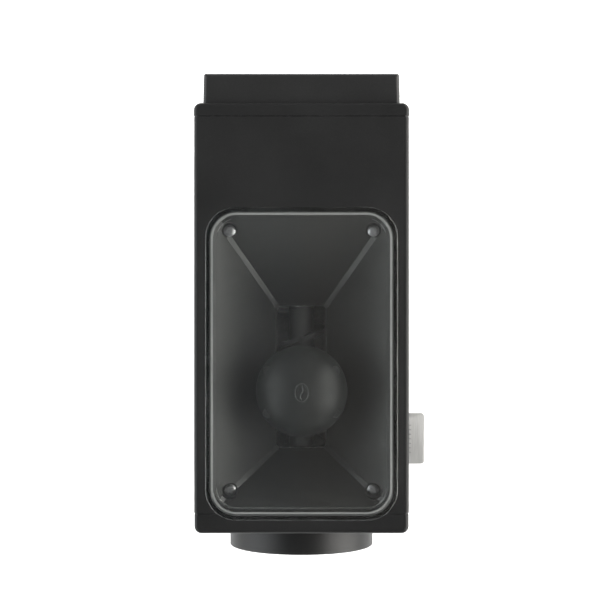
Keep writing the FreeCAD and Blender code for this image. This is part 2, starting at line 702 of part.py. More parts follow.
def make_head():
    blank = slab("shell_blank", (-half_width, half_width), (front_seam, rear_seam),
                 (head_bottom, head_top), (dim.edge_round, runs("y")))
    hollow = block("shell_hollow", (-inner_half, inner_half), (front_seam - 1, rear_seam + 1),
                   (floor_z, ceiling_z))
    ledges = []
    for index, (x, y) in enumerate(hopper_posts):
        side = -1 if x.value < 0 else 1
        across = sorted((x - side * boss_radius, side * inner_half), key=lambda size: size.value)
        ledges.append(block(f"hopper_ledge_{index}", across, middle(y, boss_radius * 2),
                            (ledge_z - dim.ledge_depth, ledge_z)))
    posts = [block(f"rear_post_{index}", middle(x, dim.post_width),
                   (rear_seam - dim.cap_post_length, rear_seam), middle(z, dim.post_width))
             for index, (x, z) in enumerate(cap_screw_spots)]
    webs = []
    for index, (x, z) in enumerate(cap_screw_spots):
        side = -1 if x.value < 0 else 1
        across = sorted((x, side * inner_half), key=lambda size: size.value)
        webs.append(block(f"rear_web_{index}", across, (rear_seam - dim.cap_post_length, rear_seam),
                          middle(z, dim.shell_wall)))
    opening = slab("bin_opening", (-bin_half - dim.run_gap, bin_half + dim.run_gap),
                   (bin_front - dim.run_gap, bin_rear + dim.run_gap), (ceiling_z - 1, head_top + 1),
                   (dim.bin_corner, runs("z")))
    chute_hole = block("chute_hole", middle(0, (dim.chute_width / 2 + dim.chute_wall + dim.chute_play) * 2),
                       (front_seam - 1, spout[1] - dim.chute_hole_lead), (head_bottom - 1, floor_z + 1))
    lever_hole = block("lever_hole", (inner_half - 1, half_width + 1),
                       (bezel_y[0] - dim.seat_gap, bezel_y[1] + dim.seat_gap),
                       (bezel_z[0] - dim.seat_gap, bezel_z[1] + dim.seat_gap))
    holes = [screw_hole(f"ledge_hole_{index}", "z", (x, y, ledge_z - dim.ledge_depth - 1),
                        dim.ledge_depth + 2)
             for index, (x, y) in enumerate(hopper_posts)]
    holes += [screw_hole(f"post_hole_{index}", "y", (x, rear_seam - dim.case_screw_length - 2, z),
                         dim.case_screw_length + 3)
              for index, (x, z) in enumerate(cap_screw_spots)]
    holes += [screw_hole(f"floor_hole_{index}", "z", (x, y, head_bottom - 1), 6)
              for index, (x, y) in enumerate(column_posts)]
    holes += [screw_hole(f"bracket_hole_{index}", "z", (pivot_x, y, head_bottom + 0.4), 4)
              for index, y in enumerate(bracket_peg_y)]
    body = fuse("shell_body", [cut("shell_tube", blank, [hollow])] + ledges + posts + webs)
    grooves = [seam_ring("shell_groove_front", front_seam), seam_ring("shell_groove_rear", rear_seam)]
    node("main_shell", cut("main_shell", body, [opening, chute_hole, lever_hole] + grooves + holes))


def cap_edges(size):
    """The outline edges of a cap's top and bottom, apart from the ones at its seam."""
    return without(either(lies("z", head_top), lies("z", head_bottom)), lies("y", size))


def make_front_cap():
    half = half_width - dim.cap_step
    blank = slab("front_blank", (-half, half), (front, front_seam), (head_bottom, head_top),
                 (dim.corner_round, both(runs("z"), lies("y", front))),
                 (dim.edge_round, cap_edges(front_seam)))
    hollow = block("front_hollow", (-half + dim.shell_wall, half - dim.shell_wall),
                   (cap_inside, front_seam + 1), (floor_z, ceiling_z))
    ears = [(x * ear_reach, shaft_z + z * ear_reach) for x in (-1, 1) for z in (-1, 1)]
    bosses = [rod(f"front_boss_{index}", "y", (x, cap_inside - 0.5, z), dim.cap_boss,
                  ear_face - cap_inside + 0.5)
              for index, (x, z) in enumerate(ears)]
    body = fuse("front_body", [cut("front_tray", blank, [hollow])] + bosses)
    key_tip = cap_bore - dim.key_reach
    keys = [block(f"front_key_{index}", span, (front, cap_inside), middle(shaft_z, dim.key_width))
            for index, span in enumerate(((-cap_bore - 1, -key_tip), (key_tip, cap_bore + 1)))]
    tools = [rod("dial_bore", "y", (0, front - 1, shaft_z), cap_bore, dim.shell_wall + 2),
             rod("bezel_bore", "y", (button_x, front - 1, button_z), bezel_radius + dim.slip_gap,
                 dim.shell_wall + 2),
             rod("detent_bore", "y", (0, front - 1, detent_z), detent_radius + dim.slip_gap,
                 dim.shell_wall + 2),
             block("pointer_recess", middle(0, dim.pointer_width + dim.seat_gap),
                   (front - 1, front + dim.pointer_depth), pointer_span),
             seam_ring("front_groove", front_seam)]
    tools += [screw_hole(f"boss_hole_{index}", "y", (x, cap_inside - 1, z), ear_face - cap_inside + 2)
              for index, (x, z) in enumerate(ears)]
    bored = cut("front_bored", body, tools)
    node("front_cap", fuse("front_cap", [bored] + keys))
    pointer = block("dial_pointer", middle(0, dim.pointer_width), (front, front + dim.pointer_depth),
                    (pointer_span[0] + dim.seat_gap / 2, pointer_span[1] - dim.seat_gap / 2))
    node("dial_pointer", pointer)


def make_rear_cap():
    half = half_width + dim.cap_step
    blank = slab("rear_blank", (-half, half), (rear_seam, rear), (head_bottom, head_top),
                 (dim.corner_round, both(runs("z"), lies("y", rear))),
                 (dim.edge_round, cap_edges(rear_seam)))
    hollow = block("rear_hollow", (-half + dim.shell_wall, half - dim.shell_wall),
                   (rear_seam - 1, rear - dim.shell_wall), (floor_z, ceiling_z))
    bosses = [rod(f"rear_boss_{index}", "y", (x, rear_seam, z), dim.cap_boss, dim.rear_cap_depth)
              for index, (x, z) in enumerate(cap_screw_spots)]
    body = fuse("rear_body", [cut("rear_tray", blank, [hollow])] + bosses)
    tools = [seam_ring("rear_groove", rear_seam),
             rod("air_hole", "y", (0, rear - dim.shell_wall - 1, shaft_z), dim.air_hole_radius,
                 dim.shell_wall + 2)]
    for index, (x, z) in enumerate(cap_screw_spots):
        tools.append(screw_hole(f"rear_hole_{index}", "y", (x, rear_seam - 1, z), dim.rear_cap_depth + 2))
        tools.append(rod(f"rear_sink_{index}", "y", (x, rear - dim.screw_head_depth - 0.1, z),
                         dim.screw_head + dim.seat_gap, 3))
    for index, (x, z) in enumerate(hook_spots):
        tools.append(block(f"hook_slot_{index}", middle(x, hook_width + 0.2),
                           (rear - dim.shell_wall - 1, rear + 1), middle(z, 12.4)))
    node("rear_cap", cut("rear_cap", body, tools))


def make_vent_cover():
    half = half_width - dim.vent_inset
    back = rear + dim.vent_depth
    low = head_bottom + dim.vent_drop
    high = head_top - dim.vent_drop
    wall = dim.vent_wall
    outer = padded("vent_blank", [(-half, rear), (half, rear), (half - dim.vent_draft, back),
                                  (-half + dim.vent_draft, back)], low, high)
    round_edges(outer, 1, both(runs("z"), lies("y", back)))
    round_edges(outer, dim.vent_round - 1, without(either(lies("z", low), lies("z", high)), lies("y", rear)))
    inner = padded("vent_hollow", [(-half + wall, rear - 1), (half - wall, rear - 1),
                                   (half - dim.vent_draft - wall, back - wall),
                                   (-half + dim.vent_draft + wall, back - wall)], low + wall, high - wall)
    slots = []
    count = int((high - low - 12).value // dim.louvre_pitch.value)
    for index in range(count):
        z = (low + high) / 2 + (index - (count - 1) / 2) * dim.louvre_pitch
        slots.append(block(f"louvre_{index}", middle(0, half * 1.64), (back - wall - 1, back + 1),
                           middle(z, dim.louvre_height)))
    hooks = [block(f"vent_hook_{index}", middle(x, hook_width), (rear - dim.shell_wall, rear + 4),
                   middle(z, 12)) for index, (x, z) in enumerate(hook_spots)]
    node("rear_vent_cover", fuse("rear_vent_cover", [cut("vent_tray", outer, [inner] + slots)] + hooks))


def make_stand():
    blank = slab("column_blank", (-half_width, half_width), (column_front, rear),
                 (base_top, head_bottom), (dim.corner_round, runs("z")))
    hollow = block("column_hollow", (-inner_half, inner_half),
                   (column_front + dim.shell_wall, rear - dim.shell_wall), (base_top - 1, head_bottom + 1))
    posts = [block(f"column_post_{index}", middle(x, dim.post_width), middle(y, dim.post_width),
                   (base_top, head_bottom)) for index, (x, y) in enumerate(column_posts)]
    pegs = [rod(f"board_peg_{index}", "y", (x, board_back, z), dim.board_peg,
                rear - dim.shell_wall - board_back)
            for index, (x, z) in enumerate(board_spots)]
    body = fuse("column_body", [cut("column_tube", blank, [hollow])] + posts + pegs)
    tools = [rod("gland_hole", "y", (0, rear - dim.shell_wall - 1, gland_z),
                 dim.gland_radius + dim.slip_gap, dim.shell_wall + 2)]
    for index, (x, y) in enumerate(column_posts):
        tools.append(screw_hole(f"column_low_{index}", "z", (x, y, base_top - 1), 13))
        tools.append(screw_hole(f"column_high_{index}", "z", (x, y, head_bottom - 12), 13))
    tools += [screw_hole(f"peg_hole_{index}", "y", (x, board_back - 1, z), 9)
              for index, (x, z) in enumerate(board_spots)]
    node("column", cut("column", body, tools))

    blank = slab("base_blank", (-half_width, half_width), (front, rear), (base_bottom, base_top),
                 (dim.corner_round, runs("z")), (0.8, lies("z", base_top)))
    hollow = block("base_hollow", (-inner_half, inner_half),
                   (front + dim.shell_wall, rear - dim.shell_wall),
                   (base_bottom - 1, base_top - dim.shell_wall))
    bosses = [rod(f"base_boss_{index}", "z", (x, y, plate_top), dim.base_boss,
                  base_top - dim.shell_wall - plate_top + 1)
              for index, (x, y) in enumerate(base_spots)]
    body = fuse("base_body", [cut("base_tray", blank, [hollow])] + bosses)
    tools = [rod("pad_recess", "z", (0, cup_y, base_top - dim.pad_depth), dim.pad_radius + dim.seat_gap, 5)]
    tools += [screw_hole(f"base_hole_{index}", "z", (x, y, base_top - dim.shell_wall - 1), 5)
              for index, (x, y) in enumerate(column_posts)]
    tools += [screw_hole(f"base_pilot_{index}", "z", (x, y, plate_top - 1), 11)
              for index, (x, y) in enumerate(base_spots)]
    node("base", cut("base", body, tools))

    edge = dim.shell_wall + dim.plate_play
    plate = slab("plate_blank", (-half_width + edge, half_width - edge), (front + edge, rear - edge),
                 (base_bottom, plate_top))
    tools = []
    for index, (x, y) in enumerate(base_spots):
        tools.append(screw_hole(f"plate_hole_{index}", "z", (x, y, base_bottom - 1), 5))
        tools.append(rod(f"plate_sink_{index}", "z", (x, y, base_bottom - 1), dim.screw_head + dim.seat_gap,
                         dim.screw_head_depth + 1.1))
    node("base_plate", cut("base_plate", plate, tools))
    spots = [((x, y, base_bottom + dim.screw_head_depth + 0.1), UP) for x, y in base_spots]
    spots += [((x, y, base_top - dim.shell_wall), UP) for x, y in column_posts]
    spots += [((x, y, floor_z), DOWN) for x, y in column_posts]
    spots += [((x, rear - dim.screw_head_depth - 0.1, z), FORWARD) for x, z in cap_screw_spots]
    screws("case_screws", spots, dim.case_screw_length)

    edge = dim.foot_inset
    width = dim.foot_width
    outer = slab("foot_blank", (-half_width + edge, half_width - edge), (front + edge, rear - edge),
                 (as_size(0), base_bottom), (dim.foot_corner, runs("z")))
    inner = slab("foot_hollow", (-half_width + edge + width, half_width - edge - width),
                 (front + edge + width, rear - edge - width), (as_size(-1), base_bottom + 1))
    node("foot_ring", cut("foot_ring", outer, [inner]))
    node("cup_pad", rod("cup_pad", "z", (0, cup_y, base_top - dim.pad_depth), dim.pad_radius, dim.pad_depth))
    node("cup_magnet", rod("cup_magnet", "z", (0, cup_y, base_top - dim.shell_wall - dim.magnet_depth),
                           dim.magnet_radius, dim.magnet_depth))


def rounded_loft(name, half, y, low, grow, high, radius):
    """A rounded body in plan that widens by grow on each side between two levels."""
    body = doc.addObject("PartDesign::Body", name)
    first = rounded_outline(body, name + "_low", (-half, half), y, radius, low)
    last = rounded_outline(body, name + "_high", (-half - grow, half + grow), (y[0] - grow, y[1] + grow),
                           radius + grow, high)
    loft = body.newObject("PartDesign::AdditiveLoft", name + "_loft")
    loft.Profile = first
    loft.Sections = [last]
    loft.Ruled = True
    return body


def make_bin():
    wall = dim.bin_wall
    outer = rounded_loft("bin_outer", bin_half, (bin_front, bin_rear), ceiling_z, dim.bin_flare, rim_z,
                         dim.bin_corner)
    inner = rounded_loft("bin_inner", bin_half - wall, (bin_front + wall, bin_rear - wall), ceiling_z,
                         dim.bin_flare, rim_z, dim.bin_corner - wall)
    bin_wall = cut("load_bin", outer, [inner])
    node("load_bin", bin_wall)

    half = bin_half + dim.bin_flare - dim.lid_inset
    ends = (bin_front - dim.bin_flare + dim.lid_inset, bin_rear + dim.bin_flare - dim.lid_inset)
    plate = slab("lid_plate", (-half, half), ends, (rim_z, rim_z + dim.lid_thickness),
                 (dim.bin_corner, runs("z")), (0.6, lies("z", rim_z + dim.lid_thickness)))
    seal_edge = bin_half - wall - dim.seat_gap
    lip = lid_ring("lid_lip", seal_edge - dim.seal_width, dim.lip_wall, (rim_z - dim.lip_depth, rim_z))
    node("bin_lid", fuse("bin_lid", [plate, lip]))
    node("lid_seal", lid_ring("lid_seal", seal_edge, dim.seal_width - dim.slip_gap,
                              (rim_z - dim.lip_depth + 1, rim_z - dim.lip_depth + 3)))


def lid_ring(name, half, width, z):
    """A ring that follows the inside of the bin wall, half being its half width in X."""
    inset = bin_half - half
    y = (bin_front + inset, bin_rear - inset)
    radius = dim.bin_corner - inset
    outer = slab(name + "_outer", (-half, half), y, z, (radius, runs("z")))
    inner = slab(name + "_inner", (-half + width, half - width), (y[0] + width, y[1] - width), z,
                 (radius - width, runs("z")))
    return cut(name, outer, [inner])


def octagon(half, y, corner):
    """A rectangle in plan whose corners are cut off at 45 degrees."""
    return [(-half + corner, y[0]), (half - corner, y[0]), (half, y[0] + corner), (half, y[1] - corner),
            (half - corner, y[1]), (-half + corner, y[1]), (-half, y[1] - corner), (-half, y[0] + corner)]


def funnel_space(name, drop):
    """The funnel's four sloping sides and its flat valleys, moved down by drop."""
    return lofted(name, octagon(throat_half, (throat_front, throat_rear), dim.valley_cut),
                  throat_z - drop, octagon(funnel_half, (funnel_front, funnel_rear), dim.valley_cut),
                  ceiling_z - drop)


def make_hopper():
    outer = funnel_space("funnel_outer", dim.funnel_drop)
    flange = slab("funnel_flange", (-bin_half, bin_half), (bin_front, bin_rear),
                  (ceiling_z - dim.flange_height, ceiling_z), (dim.bin_corner, runs("z")))
    bosses = [rod(f"funnel_boss_{index}", "z", (x, y, ledge_z), boss_radius, ceiling_z - 2 - ledge_z)
              for index, (x, y) in enumerate(hopper_posts)]
    body = fuse("funnel_body", [outer, flange] + bosses)
    tools = [funnel_space("funnel_inner", 0),
             block("throat_trim", middle(0, dim.head_width), (front, rear), (throat_z - 10, throat_z))]
    pieces = []
    for index, ((x, y), floor) in enumerate(zip(hopper_posts, well_floors)):
        tools.append(rod(f"funnel_well_{index}", "z", (x, y, floor), dim.screw_well_radius, head_top - floor))
        tools.append(screw_hole(f"funnel_hole_{index}", "z", (x, y, ledge_z - 1), floor - ledge_z + 2))
        pieces.append(screw(f"hopper_screws_{index}", (x, y, floor), DOWN, floor - ledge_z + dim.thread_grip))
    node("hopper_funnel", cut("hopper_funnel", body, tools))
    node("hopper_screws", group("hopper_screws_set", pieces))

    height = dim.dome_height
    ball_radius = (dim.dome_radius * dim.dome_radius + height * height) / (height * 2)
    centre_z = dome_rim + dim.dome_height - ball_radius
    balls = []
    for name, radius in (("dome_ball", ball_radius), ("dome_void", ball_radius - dim.dome_wall)):
        ball = doc.addObject("Part::Sphere", name)
        bind(ball, "Radius", radius)
        place(ball, (0, dome_y, centre_z))
        balls.append(ball)
    below = block("dome_trim", middle(0, dim.dome_radius * 4), middle(dome_y, dim.dome_radius * 4),
                  (dome_rim - ball_radius * 2, dome_rim))
    legs = [rod(f"dome_leg_{index}", "z", (x * dim.dome_radius * 0.72, dome_y + y * dim.dome_radius * 0.45,
                                           throat_z), dim.leg_radius, dome_rim - throat_z + 5)
            for index, (x, y) in enumerate(((-1, -1), (-1, 1), (1, -1), (1, 1)))]
    standing = doc.addObject("Part::MultiCommon", "dome_legs")
    standing.Shapes = [fuse("dome_leg_rods", legs), funnel_space("dome_space", 0)]
    cap = cut("dome_cap", balls[0], [balls[1], below])
    node("bean_dome", fuse("bean_dome", [cap, standing]))


def make_burr_housing():
    radius = dim.chamber_radius
    chamber = turned_on_shaft("chamber", [
        (cap_inside, radius - 1.2), (cap_inside, chamber_outer), (chamber_back - 0.5, chamber_outer),
        (housing_back, chamber_outer - 5.6), (housing_back, dim.trough_radius),
        (chamber_back, dim.trough_radius), (chamber_back, radius), (cap_inside + 5, radius),
        (cap_inside + 5, radius - 1.2)])
    feed = rod("feed_tube", "y", (0, housing_back - 1, shaft_z), trough_outer,
               bearing_back - housing_back + 1)
    walls = block("trough_walls", middle(0, trough_outer * 2), (throat_front - 3.4, trough_back),
                  (shaft_z, trough_top))
    foot = block("housing_foot", middle(0, 24), (trough_back - 2, bearing_back),
                 (floor_z, shaft_z - dim.trough_radius - 1))
    ears = [(x * ear_reach, shaft_z + z * ear_reach) for x in (-1, 1) for z in (-1, 1)]
    inside_screws.extend(((x, ear_face + dim.ear_depth, z), FORWARD) for x, z in ears)
    lugs = []
    for index, (x, z) in enumerate(ears):
        ear = rod(f"ear_{index}", "y", (x, ear_face, z), 5, dim.ear_depth)
        angle = math.degrees(math.atan2(-(z - shaft_z).value, x.value))
        lugs += [ear, spoke(f"ear_web_{index}", angle, (ear_face, ear_face + dim.ear_depth),
                            ear_reach * math.sqrt(2), 8)]
    outlet = block("outlet_block", middle(0, outlet_width), outlet_y, (outlet_z, shaft_z - radius + 2))
    body = fuse("housing_body", [feed, walls, foot, outlet] + lugs)
    tools = [rod("chamber_space", "y", (0, front, shaft_z), radius, chamber_back - front),
             rod("trough_space", "y", (0, chamber_back - 1, shaft_z), dim.trough_radius,
                 throat_rear - chamber_back + 1)]
    passage = [block("trough_mouth", middle(0, dim.throat_width), (throat_front, throat_rear),
                     (shaft_z, trough_top + 5)),
               block("trough_trim", middle(0, trough_outer * 3), (throat_front - 3.4, bearing_back + 1),
                     (trough_top, trough_top + 5)),
               rod("bearing_seat", "y", (0, trough_back, shaft_z), dim.trough_radius + dim.slip_gap,
                   dim.bearing_width + 1),
               rod("shaft_hole", "y", (0, throat_rear - 1, shaft_z), dim.shaft_radius + 1, 5),
               block("outlet_space", middle(0, dim.chute_width), inlet, (outlet_z - 1, shaft_z - radius + 3)),
               rod("detent_seat", "y", (0, cap_inside - 1, detent_z), detent_radius + dim.slip_gap, 8)]
    passage += [screw_hole(f"ear_hole_{index}", "y", (x, ear_face - 1, z), dim.ear_depth + 2)
                for index, (x, z) in enumerate(ears)]
    passage += [screw_hole(f"outlet_hole_{index}", "z", (x, chute_screw_y, outlet_z - 1), 8)
                for index, x in enumerate(chute_screw_x)]
    solid = fuse("housing_solid", [chamber, cut("housing_rough", body, tools)])
    node("burr_housing", cut("burr_housing", solid, passage))


def make_rotor():
    bore = dim.shaft_radius + dim.slip_gap
    hub_front = moving_back - dim.hub_sink
    thread = dim.motor_shaft
    node("drive_shaft", turned_on_shaft("drive_shaft", [
        (hub_front - 5.5, 0), (hub_front - 5.5, thread - 0.5), (hub_front - 5, thread), (hub_front, thread),
        (hub_front, dim.shaft_radius), (coupling_front + dim.coupling_length / 2 - 0.5, dim.shaft_radius),
        (coupling_front + dim.coupling_length / 2 - 0.5, 0)]))
    nut = doc.addObject("Part::Prism", "nut_blank")
    nut.Polygon = 6
    bind(nut, "Circumradius", 7)
    bind(nut, "Height", 4)
    place(nut, (0, hub_front - 4, shaft_z), BACKWARD)
    node("shaft_nut", cut("shaft_nut", nut, [rod("nut_bore", "y", (0, hub_front - 5, shaft_z),
                                                 thread + dim.slip_gap, 6)]))

    rim = turned_on_shaft("spider_rim", [
        (moving_back, dim.burr_bore - 0.5), (moving_back, dim.burr_radius + 2),
        (spider_back, dim.burr_radius + 2), (spider_back, dim.burr_bore - 0.5)])
    hub = rod("spider_hub", "y", (0, hub_front, shaft_z), 8, spider_back - hub_front)
    spokes = [spoke(f"spider_spoke_{index}", angle, (moving_back, spider_back), dim.burr_bore + 2, 5)
              for index, angle in enumerate((0, 120, 240))]
    wipers = [cut(f"wiper_{index}", spoke(f"wiper_bar_{index}", angle, (moving_back - 5, moving_back + 1),
                                          dim.burr_radius + 2, 4),
                  [rod(f"wiper_gap_{index}", "y", (0, moving_back - 6, shaft_z), dim.burr_radius + 0.3, 8)])
              for index, angle in enumerate((60, 180, 300))]
    spider = fuse("spider", [rim, hub] + spokes + wipers)
    tools = [rod("spider_bore", "y", (0, hub_front - 1, shaft_z), bore, spider_back - hub_front + 2)]
    tools += [screw_hole(f"spider_hole_{index}", "y", (x, moving_front, z), 13)
              for index, (x, z) in enumerate(burr_spots(90))]
    node("burr_carrier", cut("burr_carrier", spider, tools))
    burr("rotating_burr", moving_front, moving_back, 90, moving_front, FORWARD_FACE)
    spots = [((x, moving_front + dim.screw_head_depth + 0.4, z), BACKWARD) for x, z in burr_spots(90)]
    screws("rotating_burr_screws", spots, dim.moving_screw_length)

    core = rod("auger_core", "z", (0, 0, 0), 6.6, auger_length)
    body = doc.addObject("PartDesign::Body", "auger_flight")
    profile = outline(body, "flight_profile", "XZ_Plane", [
        (6, 0.5), (dim.trough_radius - dim.auger_gap, 0.5),
        (dim.trough_radius - dim.auger_gap, 0.5 + dim.flight_width), (6, 0.5 + dim.flight_width)])
    helix = body.newObject("PartDesign::AdditiveHelix", "flight_helix")
    helix.Profile = profile
    helix.ReferenceAxis = (profile, ["V_Axis"])
    helix.Mode = 0
    bind(helix, "Pitch", dim.auger_pitch)
    bind(helix, "Height", auger_length - 1 - dim.flight_width)
    bored = cut("auger_bored", fuse("auger_body", [core, body]),
                [rod("auger_bore", "z", (0, 0, -1), bore, auger_length + 2)])
    place(bored, (0, spider_back + 0.2, shaft_z), BACKWARD)
    node("auger", bored)

    joint = rod("coupling_blank", "y", (0, coupling_front, shaft_z), dim.coupling_radius, dim.coupling_length)
    half_way = dim.coupling_length / 2
    node("shaft_coupling", cut("shaft_coupling", joint, [
        rod("coupling_bore_front", "y", (0, coupling_front - 1, shaft_z), bore, half_way + 1),
        rod("coupling_bore_back", "y", (0, coupling_front + half_way, shaft_z), thread + dim.slip_gap,
            half_way + 1)]))


def burr_spots(angle):
    """Where three screws hold a burr, turned to an angle in degrees."""
    reach = (dim.burr_radius + dim.burr_bore) / 2
    angles = [math.radians(angle + turn) for turn in (0, 120, 240)]
    return [(reach * math.cos(a), shaft_z + reach * math.sin(a)) for a in angles]


FORWARD_FACE = -1
BACKWARD_FACE = 1


def burr(name, low, high, angle, face, side):
    """A flat burr: a ring with breaker slots in its grinding face and three sunk screw holes."""
    ring = turned_on_shaft(name + "_ring", [(low, dim.burr_bore), (low, dim.burr_radius),
                                            (high, dim.burr_radius), (high, dim.burr_bore)])
    depth = 1.5
    span = (face - 1, face + depth) if side == FORWARD_FACE else (face - depth, face + 1)
    tools = [spoke(f"{name}_slot_{index}", 30 * index + 15, span, dim.burr_radius - 3, 1.6)
             for index in range(12)]
    for index, (x, z) in enumerate(burr_spots(angle)):
        tools.append(screw_hole(f"{name}_hole_{index}", "y", (x, low - 1, z), high - low + 2))
        start = face - 1 if side == FORWARD_FACE else face - dim.screw_head_depth - 0.4
        tools.append(rod(f"{name}_sink_{index}", "y", (x, start, z), dim.screw_head + dim.seat_gap,
                         dim.screw_head_depth + 1.4))
    node(name, cut(name, ring, tools))


def make_adjuster():
    neck = dim.hub_bore - dim.run_gap
    neck_front = dial_floor + dim.neck_gap
    rim_back = cap_inside
    carrier = turned_on_shaft("carrier_blank", [
        (neck_front, 0), (neck_front, neck), (plate_front, neck), (plate_front, carrier_radius),
        (rim_back, carrier_radius), (rim_back, dim.burr_radius + dim.slip_gap),
        (burr_front, dim.burr_radius + dim.slip_gap), (burr_front, 0)])
    notch = cap_bore - dim.key_reach - dim.run_gap
    tools = [block(f"key_way_{index}", span, (burr_front, rim_back + 1),
                   middle(shaft_z, dim.key_width + dim.run_gap * 2))
             for index, span in enumerate(((-cap_bore - 1, -notch), (notch, cap_bore + 1)))]
    tools += [screw_hole(f"carrier_hole_{index}", "y", (x, plate_front + 0.6, z), 5)
              for index, (x, z) in enumerate(burr_spots(270))]
    node("outer_carrier", cut("outer_carrier", carrier, tools))
    burr("fixed_burr", burr_front, grind_face, 270, grind_face, BACKWARD_FACE)
    spots = [((x, grind_face - dim.screw_head_depth - 0.4, z), FORWARD) for x, z in burr_spots(270)]
    screws("fixed_burr_screws", spots, dim.fixed_screw_length)

    lip = dim.dial_radius - dim.dial_wall
    seat = dim.insert_radius + dim.slip_gap
    bevel = dim.dial_bevel
    insert_front = dial_front + dim.insert_recess
    dial = turned_on_shaft("dial_blank", [
        (insert_front + dim.insert_depth, 0), (insert_front + dim.insert_depth, seat), (dial_front, seat),
        (dial_front, dim.dial_radius - bevel), (dial_front + bevel, dim.dial_radius),
        (dial_back, dim.dial_radius), (dial_back, lip), (dial_floor, lip), (dial_floor, 0)])
    hub_spots = [((dim.hub_bore + dim.hub_wall - 3) * math.cos(math.radians(a)),
                  shaft_z + (dim.hub_bore + dim.hub_wall - 3) * math.sin(math.radians(a)))
                 for a in (90, 210, 330)]
    holes = [screw_hole(f"dial_hole_{index}", "y", (x, dial_floor - 1.5, z), 3)
             for index, (x, z) in enumerate(hub_spots)]
    node("dial", cut("dial", dial, holes))
    node("dial_insert", rod("dial_insert", "y", (0, insert_front, shaft_z), dim.insert_radius,
                            dim.insert_depth))
    hub_back = plate_front - dim.spring_room
    step = dial_floor + 1.6
    hub = turned_on_shaft("hub_blank", [
        (dial_floor, dim.hub_bore), (dial_floor, dim.hub_bore + dim.hub_wall),
        (step, dim.hub_bore + dim.hub_wall), (step, dim.hub_bore + 4), (hub_back, dim.hub_bore + 4),
        (hub_back, dim.hub_bore)])
    node("adjusting_hub", cut("adjusting_hub", hub, [
        screw_hole(f"hub_hole_{index}", "y", (x, dial_floor - 1, z), 5)
        for index, (x, z) in enumerate(hub_spots)]))
    screws("hub_screws", [((x, step, z), FORWARD) for x, z in hub_spots], dim.hub_screw_length,
           head=2.6, depth=1.2)
    node("wave_spring", tube("wave_spring", "y", (0, hub_back + 0.1, shaft_z), dim.hub_bore + 4,
                             dim.hub_bore + 1, 0.4))
    ball = doc.addObject("Part::Sphere", "detent_ball")
    bind(ball, "Radius", detent_radius)
    place(ball, (0, front + detent_radius - 0.15, detent_z))
    spring = coil("detent_spring", (0, front + detent_radius * 2, detent_z), BACKWARD, 0.75, 0.2, 0.9, 7)
    node("detent_plunger", group("detent_plunger", [ball, spring]))


